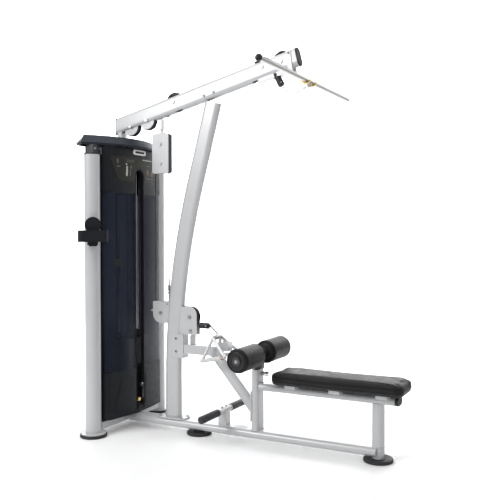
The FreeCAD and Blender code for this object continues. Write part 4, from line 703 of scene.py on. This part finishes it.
def make_panels():
    """Raised panels on the lower cover and a placard and badge on the upper one."""
    for side, tag in ((-1, "near"), (1, "far")):
        corners = [(0.054 * side, 0.120), (0.232 * side, 0.120), (0.168 * side, 0.316), (0.054 * side, 0.316)]
        cover_panel("lower_" + tag + "_panel", corners, 0.003, "shroud", proud=0.0022)
    edge = SLOT_HALF + 0.008
    arch = [(edge * math.cos(a), SLOT_TOP + edge * math.sin(a))
            for a in (math.pi * k / 16 for k in range(17))]
    placard = [(-edge, 1.495), (-0.172, 1.491), (-0.197, 1.512), (-0.250, 1.633), (0.203, 1.644),
               (0.189, 1.535), (0.175, 1.491), (edge, 1.495)]
    cover_panel("placard", placard, 0.002, "placard", proud=0.0012, tail=arch)
    for n, (y, z, wide, tall, lean, look) in enumerate((
            (-0.192, 1.606, 0.018, 0.028, 0.0, "print"), (-0.186, 1.576, 0.030, 0.010, 0.0, "print"),
            (-0.086, 1.618, 0.066, 0.004, 0.0, "print"), (-0.090, 1.608, 0.074, 0.004, 0.0, "print"),
            (-0.118, 1.552, 0.014, 0.062, 0.002, "print_light"), (-0.090, 1.542, 0.008, 0.040, 0.0, "print"),
            (-0.082, 1.576, 0.020, 0.022, 0.004, "print_warm"),
            (-0.122, 1.592, 0.012, 0.010, 0.0, "print_light"),
            (0.080, 1.628, 0.104, 0.006, 0.0, "print_light"), (0.092, 1.594, 0.040, 0.004, 0.0, "print"),
            (0.086, 1.556, 0.026, 0.034, 0.0, "print_warm"), (0.140, 1.550, 0.026, 0.036, 0.0, "print_warm"),
            (0.112, 1.518, 0.092, 0.004, 0.0, "print"))):
        mark = [(y - wide / 2 - lean, z - tall / 2), (y + wide / 2 - lean, z - tall / 2),
                (y + wide / 2 + lean, z + tall / 2), (y - wide / 2 + lean, z + tall / 2)]
        cover_panel("placard_mark_%d" % n, mark, 0.0008, look, proud=0.0018)
    cover_panel("badge", [(-0.063, 1.655), (0.063, 1.655), (0.063, 1.685), (-0.063, 1.685)], 0.003, "white",
                proud=0.0030, radius=0.0135)
    cover_panel("badge_bar", [(-0.044, 1.664), (0.046, 1.664), (0.046, 1.677), (-0.044, 1.677)], 0.001, "ink",
                proud=0.0036)
    cover_panel("window_label", [(-0.222, 0.985), (-0.150, 0.985), (-0.150, 1.030), (-0.222, 1.030)], 0.001,
                "ink", proud=0.0012, inset=0.003)
    lanyard = [tower(96, 3, 162), tower(101, 14, 166), tower(99, 21, 176), tower(98, 23, 205),
               tower(98, 22, 240), tower(97, 17, 252)]
    bead = [(0, -0.0019), (0.0013, -0.0014), (0.0019, 0), (0.0013, 0.0014), (0, 0.0019)]
    beads = []
    for here, after in zip(lanyard, lanyard[1:]):
        count = max(1, round((after - here).length / 0.0052))
        for k in range(count):
            beads.append(lathe_data(bead, here.lerp(after, k / count), UP, steps=8))
    beads.append(tube_data(lanyard, 0.0006, sides=6))
    piece("pin_bead_chain", mesh_of("pin_bead_chain", *join_data(beads)), "steel", "selector")
    ring = [tower(97, 8, 251) + Vector((0, math.cos(a), math.sin(a))) * 0.009 for a in
            (2 * math.pi * k / 32 for k in range(32))]
    tube("pin_split_ring", ring, 0.0009, "steel", "selector", sides=8, closed=True)
    stud = [(0, -0.002), (0.0042, -0.002), (0.0042, 0.0015), (0.0030, 0.0028), (0, 0.0032)]
    lathe("pin_lanyard_stud", stud, tower(98, 17, 255), AHEAD, "white", "selector", steps=24)


make_panels()


def make_slot_lining():
    """The slot's inner wall: a thin lining that runs up both sides and round the arch."""
    line = [(-SLOT_HALF, 0.112), (-SLOT_HALF, 0.8)]
    line += [(-SLOT_HALF * math.cos(a), SLOT_TOP + SLOT_HALF * math.sin(a))
             for a in (math.pi * k / 24 for k in range(25))]
    line += [(SLOT_HALF, 0.8), (SLOT_HALF, 0.112)]
    verts, faces = [], []
    for y, z in line:
        inward = Vector((0, -y, SLOT_TOP - z if z > SLOT_TOP else 0)).normalized()
        for depth, x in ((0.0003, cover_front(y) - 0.0008), (0.0003, 0.072), (0.0030, 0.072),
                         (0.0030, cover_front(y) - 0.0008)):
            verts.append(Vector((TX + x, y, z)) + inward * depth)
    for i in range(len(line) - 1):
        for k in range(4):
            faces.append((4 * i + k, 4 * i + (k + 1) % 4, 4 * i + 4 + (k + 1) % 4, 4 * i + 4 + k))
    last = 4 * len(line) - 4
    faces += [(3, 2, 1, 0), (last, last + 1, last + 2, last + 3)]
    piece("slot_lining", mesh_of("slot_lining", verts, faces), "ink", "frame")


make_slot_lining()


def make_block_shade_strip():
    """A black strip on the floating block's front: painted shade standing in for the shaded inner face of the
    far plate between the block's plates.
    """
    low, high = tower(319.5, -15, 1543), tower(323, 15, 1768)
    corners = [(low.y, low.z), (high.y, low.z), (high.y, high.z), (low.y, high.z)]
    ring = rounded([Vector(p) for p in corners], 0.004, 4)
    count = len(ring)
    verts = [(x, p.x, p.y) for x in (low.x, high.x) for p in ring]
    faces = [tuple(range(count - 1, -1, -1)), tuple(range(count, 2 * count))]
    faces += [(i, (i + 1) % count, count + (i + 1) % count, count + i) for i in range(count)]
    # painted shade: a black strip where the gap between the block's plates lies in shadow
    piece("block_shade_strip", mesh_of("block_shade_strip", verts, faces), "rubber", "block")


make_block_shade_strip()


def make_nose_cover():
    """A thin painted cover that bends over the front nose pulley between the boom's side plates."""
    axle = tower(1057, 0, 2116)
    verts, faces = [], []
    steps = 24
    for k in range(steps + 1):
        angle = math.radians(14 + 98 * k / steps)
        out = Vector((math.cos(angle), 0, math.sin(angle)))
        for radius, y in ((0.0590, -0.013), (0.0590, 0.013), (0.0605, 0.013), (0.0605, -0.013)):
            verts.append(axle + out * radius + SIDE * y)
    for i in range(steps):
        for k in range(4):
            faces.append((4 * i + k, 4 * i + (k + 1) % 4, 4 * i + 4 + (k + 1) % 4, 4 * i + 4 + k))
    faces += [(3, 2, 1, 0), (4 * steps, 4 * steps + 1, 4 * steps + 2, 4 * steps + 3)]
    piece("nose_cover", mesh_of("nose_cover", verts, faces), "frame_paint", "frame")


make_nose_cover()


# ------------------------------------------------------------------ cover trims and cap
def make_tower_trim():
    """A black joint line round each cover seam and a grommet where the cable enters the cap."""
    for tag, z in (("upper", 1.4225), ("lower", 0.3575)):
        line = []
        for k in range(25):
            y = -0.2735 + 0.547 * k / 24
            x = cover_front(y, 0.004) - max(0.0, abs(y) - 0.236) ** 2 * 28
            line.append(Vector((TX + x, y, z)))
        halves = [[p for p in line if p.y < -0.030], [p for p in line if p.y > 0.030]]
        data = [tube_data(part, 0.0026, sides=8) for part in halves]
        piece(tag + "_cover_joint", mesh_of(tag + "_cover_joint", *join_data(data)), "ink", "frame")
    grommet = [(0.0136, -0.004), (0.0136, 0.0035), (0.0190, 0.0035), (0.0215, 0.0015), (0.0215, -0.0005),
               (0.0136, -0.004)]
    lathe("cap_grommet", grommet, tower(0, 0, 1750), UP, "rubber", "frame", steps=48)


make_tower_trim()


# ------------------------------------------------------------------ grips
def make_foot_grips():
    """Moulded foot grips with fine ribs and a closed, softly rounded end."""
    start, end = 0.074, 0.261
    long = end - start
    ribs = 46
    for side, tag in ((-1, "near"), (1, "far")):
        profile = [(0.0171, 0.0), (0.0195, 0.0), (0.0207, 0.0012)]
        for k in range(ribs):
            at = 0.006 + (long - 0.018) * k / (ribs - 1)
            profile += [(0.0209, at), (0.0209, at + 0.0024), (0.0204, at + 0.0030), (0.0204, at + 0.0036)]
        profile += [(0.0209, long - 0.009), (0.0205, long - 0.004), (0.0185, long - 0.0012), (0.0150, long),
                    (0, long)]
        base = tower(688, 0, 160) + SIDE * (side * start)
        grip = lathe(tag + "_foot_grip", profile, base, SIDE * side, "sleeve", "frame", steps=56, sharp=40)
        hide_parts("foot_bar_sleeves")


make_foot_grips()


def make_handle_trim():
    """A sleeve on the row handle's hub and a thin coloured ring at each grip's front end."""
    hub = tower(640, 0, 579)
    sleeve = [(0.0114, -0.040), (0.0134, -0.040), (0.0140, -0.038), (0.0140, -0.012), (0.0130, -0.011),
              (0.0130, 0.011), (0.0140, 0.012), (0.0140, 0.038), (0.0134, 0.040), (0.0114, 0.040)]
    lathe("row_hub_sleeve", sleeve, hub, SIDE, "bar", "row_end", steps=40)
    rear, front = tower(594, 0, 452), tower(742, 0, 484)
    way = (front - rear).normalized()
    for side, tag in ((-1, "near"), (1, "far")):
        at = front - way * 0.018 + SIDE * (side * 0.092)
        ring = [(0.0112, -0.003), (0.0126, -0.0028), (0.0130, 0), (0.0126, 0.0028), (0.0112, 0.003)]
        lathe(tag + "_grip_ring", ring, at, way, "ring", "row_end", steps=36)
        collar = [(0.0112, -0.006), (0.0122, -0.006), (0.0122, 0.006), (0.0112, 0.006)]
        lathe(tag + "_grip_collar", collar, at + way * 0.0105, way, "bar", "row_end", steps=36)


M["ring"] = moulded("terracotta_ring", (0.42, 0.17, 0.13), 0.5, 500.0, 0.1)
make_handle_trim()


# ------------------------------------------------------------------ stoppers
def make_stopper_trim():
    """Ribs round each rubber stopper and a bright set screw in its side."""
    screw = [(0, 0), (0.0042, 0), (0.0042, 0.0022), (0.0030, 0.0030), (0.0016, 0.0030), (0.0014, 0.0016),
             (0, 0.0016)]
    for tag, start, way, long, radius, body, screw_side in (
            ("lat", LAT_LEAVE + LAT_DROP * 0.092, LAT_DROP, 0.058, 0.018, "lat_end", (0.5, -0.85, 0.1)),
            ("row", tower(526, 0, 641), AHEAD, 0.062, 0.017, "row_end", (0.35, -0.93, 0))):
        ribs = []
        for k in range(9):
            at = 0.007 + (long - 0.014) * k / 8
            ribs.append(lathe_data([(radius - 0.0006, at - 0.0016), (radius + 0.0007, at - 0.0009),
                                    (radius + 0.0007, at + 0.0009), (radius - 0.0006, at + 0.0016)],
                                   start, way, steps=48))
        name = tag + "_stopper_ribs"
        piece(name, mesh_of(name, *join_data(ribs)), "stopper", body)
        screw_way = Vector(screw_side).normalized()
        screw_way = (screw_way - way * screw_way.dot(way)).normalized()
        centre = start + way * (long - 0.014) + screw_way * (radius - 0.0008)
        lathe(tag + "_stopper_screw", screw, centre, screw_way, "steel", body, steps=28)


make_stopper_trim()


# ------------------------------------------------------------------ chain and moving cables
def link_path(centre, along, across, length, width):
    """The centre line of a chain link: two straight sides and two half circles."""
    end = width / 2
    reach = length / 2 - end
    made = []
    for sign in (1, -1):
        pivot = centre + along * (reach * sign)
        for k in range(9):
            angle = math.pi * (k / 8 - 0.5)
            made.append(pivot + along * (sign * end * math.cos(angle))
                        + across * (sign * end * math.sin(angle)))
    return made


def polyline_spot(points, distance):
    for here, after in zip(points, points[1:]):
        span = (after - here).length
        if distance <= span:
            return here.lerp(after, distance / span)
        distance -= span
    return points[-1]


def make_lat_chain():
    """The slack chain from the stopper's eye to a long snap link on the bar's lug."""
    eye = LAT_LEAVE + LAT_DROP * (0.092 + 0.058 + 0.008)
    points = [eye + LAT_DROP * 0.0015, tower(1076, 0, 1958), tower(1090, 0, 1946), tower(1110, 0, 1940),
              tower(1132, 0, 1940), tower(1152, 0, 1948)]
    long, wide, wire = 0.015, 0.010, 0.0015
    room = sum((b - a).length for a, b in zip(points, points[1:])) - long
    count = 2 * math.ceil((room / (long - 2 * wire - 0.0006) + 1) / 2)
    parts = []
    for n in range(count):
        middle = long / 2 + room * n / (count - 1)
        tail, head = polyline_spot(points, middle - 0.006), polyline_spot(points, middle + 0.006)
        along = (head - tail).normalized()
        across = Vector((-along.z, 0, along.x)) if n % 2 else SIDE
        loop = link_path((tail + head) / 2, along, across, long, wide)
        parts.append(tube_data(loop, wire, sides=10, closed=True))
    start, end = tower(1148, 0, 1946), tower(1215, 0, 1976.5)
    way = (end - start).normalized()
    snap = link_path((start + end) / 2, way, SIDE, (end - start).length, 0.018)
    parts.append(tube_data(snap, 0.0024, sides=12, closed=True))
    gate = (start + end) / 2 + SIDE * 0.009
    parts.append(tube_data([gate - way * 0.014, gate - way * 0.013, gate + way * 0.013, gate + way * 0.014],
                           [0.0028, 0.0034, 0.0034, 0.0028], sides=12))
    chain = piece("lat_chain_links", mesh_of("lat_chain_links", *join_data(parts)), "steel", None)
    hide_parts("lat_chain")
    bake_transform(chain)


make_lat_chain()


def make_moving_stubs():
    """Short ropes that stretch from the frame to each stopper as the bar or the handle is pulled."""
    stretch_tube("lat_rope_drop", LAT_LEAVE + LAT_DROP * 0.024, LAT_LEAVE + LAT_DROP * 0.034,
                 radius=STUB_ROPE)
    stretch_tube("row_rope_run", tower(496, 0, 641), tower(504, 0, 641), radius=STUB_ROPE)


make_moving_stubs()


# ------------------------------------------------------------------ welds, sockets and small marks
def oval(centre, long, short, along, across, steps=48):
    """A flat-sided oval outline."""
    half, end = (long - short) / 2, short / 2
    made = []
    for sign in (1, -1):
        for k in range(steps // 2):
            angle = math.pi * (k / (steps // 2 - 1) - 0.5)
            made.append(centre + along * (sign * (half + end * math.cos(angle)))
                        + across * (sign * end * math.sin(angle)))
    return made


def make_welds():
    """Painted weld beads where the posts meet the plates and beams they stand on."""
    loops = []
    for y in (-0.327, 0.327):
        loops.append(oval(tower(0, y * 1000, 24.5), 0.0905, 0.0904, AHEAD, SIDE))
    loops.append(oval(tower(1606, 0, 77.2), 0.0645, 0.0644, AHEAD, SIDE))
    loops.append(oval(tower(1606, 0, 303.6), 0.0645, 0.0644, AHEAD, SIDE))
    loops.append(oval(tower(905, 0, 77.2), 0.0905, 0.0465, SIDE, AHEAD))
    loops.append(oval(tower(342, 0, 93.4), 0.1045, 0.0525, AHEAD, SIDE))
    data = []
    for loop in loops:
        closed = []
        for here, after in zip(loop, loop[1:] + loop[:1]):
            pieces = max(1, int((after - here).length / 0.004))
            closed += [here.lerp(after, k / pieces) for k in range(pieces)]
        sizes = [0.0024 + 0.0004 * math.sin(k * 1.1) for k in range(len(closed))]
        data.append(tube_data(closed, sizes, sides=8, closed=True))
    piece("weld_beads", mesh_of("weld_beads", *join_data(data)), "frame_paint", "frame")


make_welds()


def make_socket_shade_discs():
    """A dark hexagon disc on each domed bolt head: painted shade standing in for the shadowed hollow of its
    socket.
    """
    spots = []
    for side in (-1, 1):
        for x, wall, z in ((570, 26, 1972), (634, 26, 1988), (378, 30, 558), (378, 30, 482),
                           (1104, 31, 2156)):
            spots.append((tower(x, side * (wall + 6.3), z), SIDE * side))
    spots += [(tower(688, y, 183.6), UP) for y in (-24, 24)]
    # painted shade: a thin dark disc in place of a recessed hex socket
    socket = [(0, 0), (0.0042, 0), (0.0042, 0.0010), (0, 0.0010)]
    data = [lathe_data(socket, at, way, steps=6) for at, way in spots]
    piece("bolt_socket_shade_discs", mesh_of("bolt_socket_shade_discs", *join_data(data)), "ink", "frame")


make_socket_shade_discs()


# ------------------------------------------------------------------ stage, lights, camera
def make_floor():
    """A pale floor that turns up into a backdrop far behind."""
    profile = [(-7.0, 0.0), (3.2, 0.0)]
    for k in range(1, 13):
        angle = math.pi / 2 * k / 12
        profile.append((3.2 + 1.6 * math.sin(angle), 1.6 * (1 - math.cos(angle))))
    profile.append((4.8, 7.0))
    yaw = math.radians(27.494)
    along = Vector((math.cos(yaw), math.sin(yaw), 0))
    back = Vector((-math.sin(yaw), math.cos(yaw), 0))
    verts, faces = [], []
    for depth, z in profile:
        for side in (-9.0, 9.0):
            verts.append(back * depth + along * side + UP * z)
    for i in range(len(profile) - 1):
        faces.append((2 * i, 2 * i + 1, 2 * i + 3, 2 * i + 2))
    mesh = mesh_of("studio_floor", verts, faces)
    floor = bpy.data.objects.new("studio_floor", mesh)
    bpy.context.scene.collection.objects.link(floor)
    smooth(mesh, 40)
    made = Shader("pale_floor", (0.93, 0.93, 0.93), 0.55)
    made.vary_color(made.noise(2.0), 0.015)
    made.bump(made.noise(60.0), 0.02, 0.0005)
    mesh.materials.append(made.mat)


def area_light(name, at, target, size, power, color=(1, 1, 1)):
    data = bpy.data.lights.new(name, "AREA")
    data.shape = "RECTANGLE"
    data.size, data.size_y = size
    data.energy = power
    data.color = color
    obj = bpy.data.objects.new(name, data)
    bpy.context.scene.collection.objects.link(obj)
    obj.location = at
    obj.rotation_euler = (Vector(target) - Vector(at)).to_track_quat("-Z", "Y").to_euler()


def make_studio():
    make_floor()
    world = bpy.data.worlds.new("studio")
    bpy.context.scene.world = world
    world.use_nodes = True
    world.node_tree.nodes["Background"].inputs["Color"].default_value = (0.97, 0.98, 1.0, 1)
    world.node_tree.nodes["Background"].inputs["Strength"].default_value = 0.36
    area_light("key", (-2.6, -4.2, 3.6), (0, 0, 1.0), (2.2, 2.2), 165)
    area_light("top", (0.2, -0.4, 5.0), (0.1, 0, 0), (5.0, 5.0), 125)
    area_light("right_fill", (4.2, -1.8, 2.2), (0, 0, 0.9), (1.8, 2.6), 15)
    area_light("back_rim", (1.0, 4.0, 3.0), (0, 0, 1.0), (3.0, 2.0), 40)
    area_light("backdrop", (-1.1, 2.2, 3.2), (-2.2, 4.3, 1.4), (5.0, 1.2), 260)
    lens = bpy.data.cameras.new("photo_camera")
    lens.sensor_width = 36
    lens.lens = 51.374
    camera = bpy.data.objects.new("photo_camera", lens)
    bpy.context.scene.collection.objects.link(camera)
    camera.location = (1.8835, -3.564, 1.199)
    camera.rotation_euler = (math.radians(90 - 1.597), math.radians(0.017), math.radians(27.494))
    bpy.context.scene.camera = camera
    bpy.context.scene.view_settings.view_transform = "Standard"


make_studio()
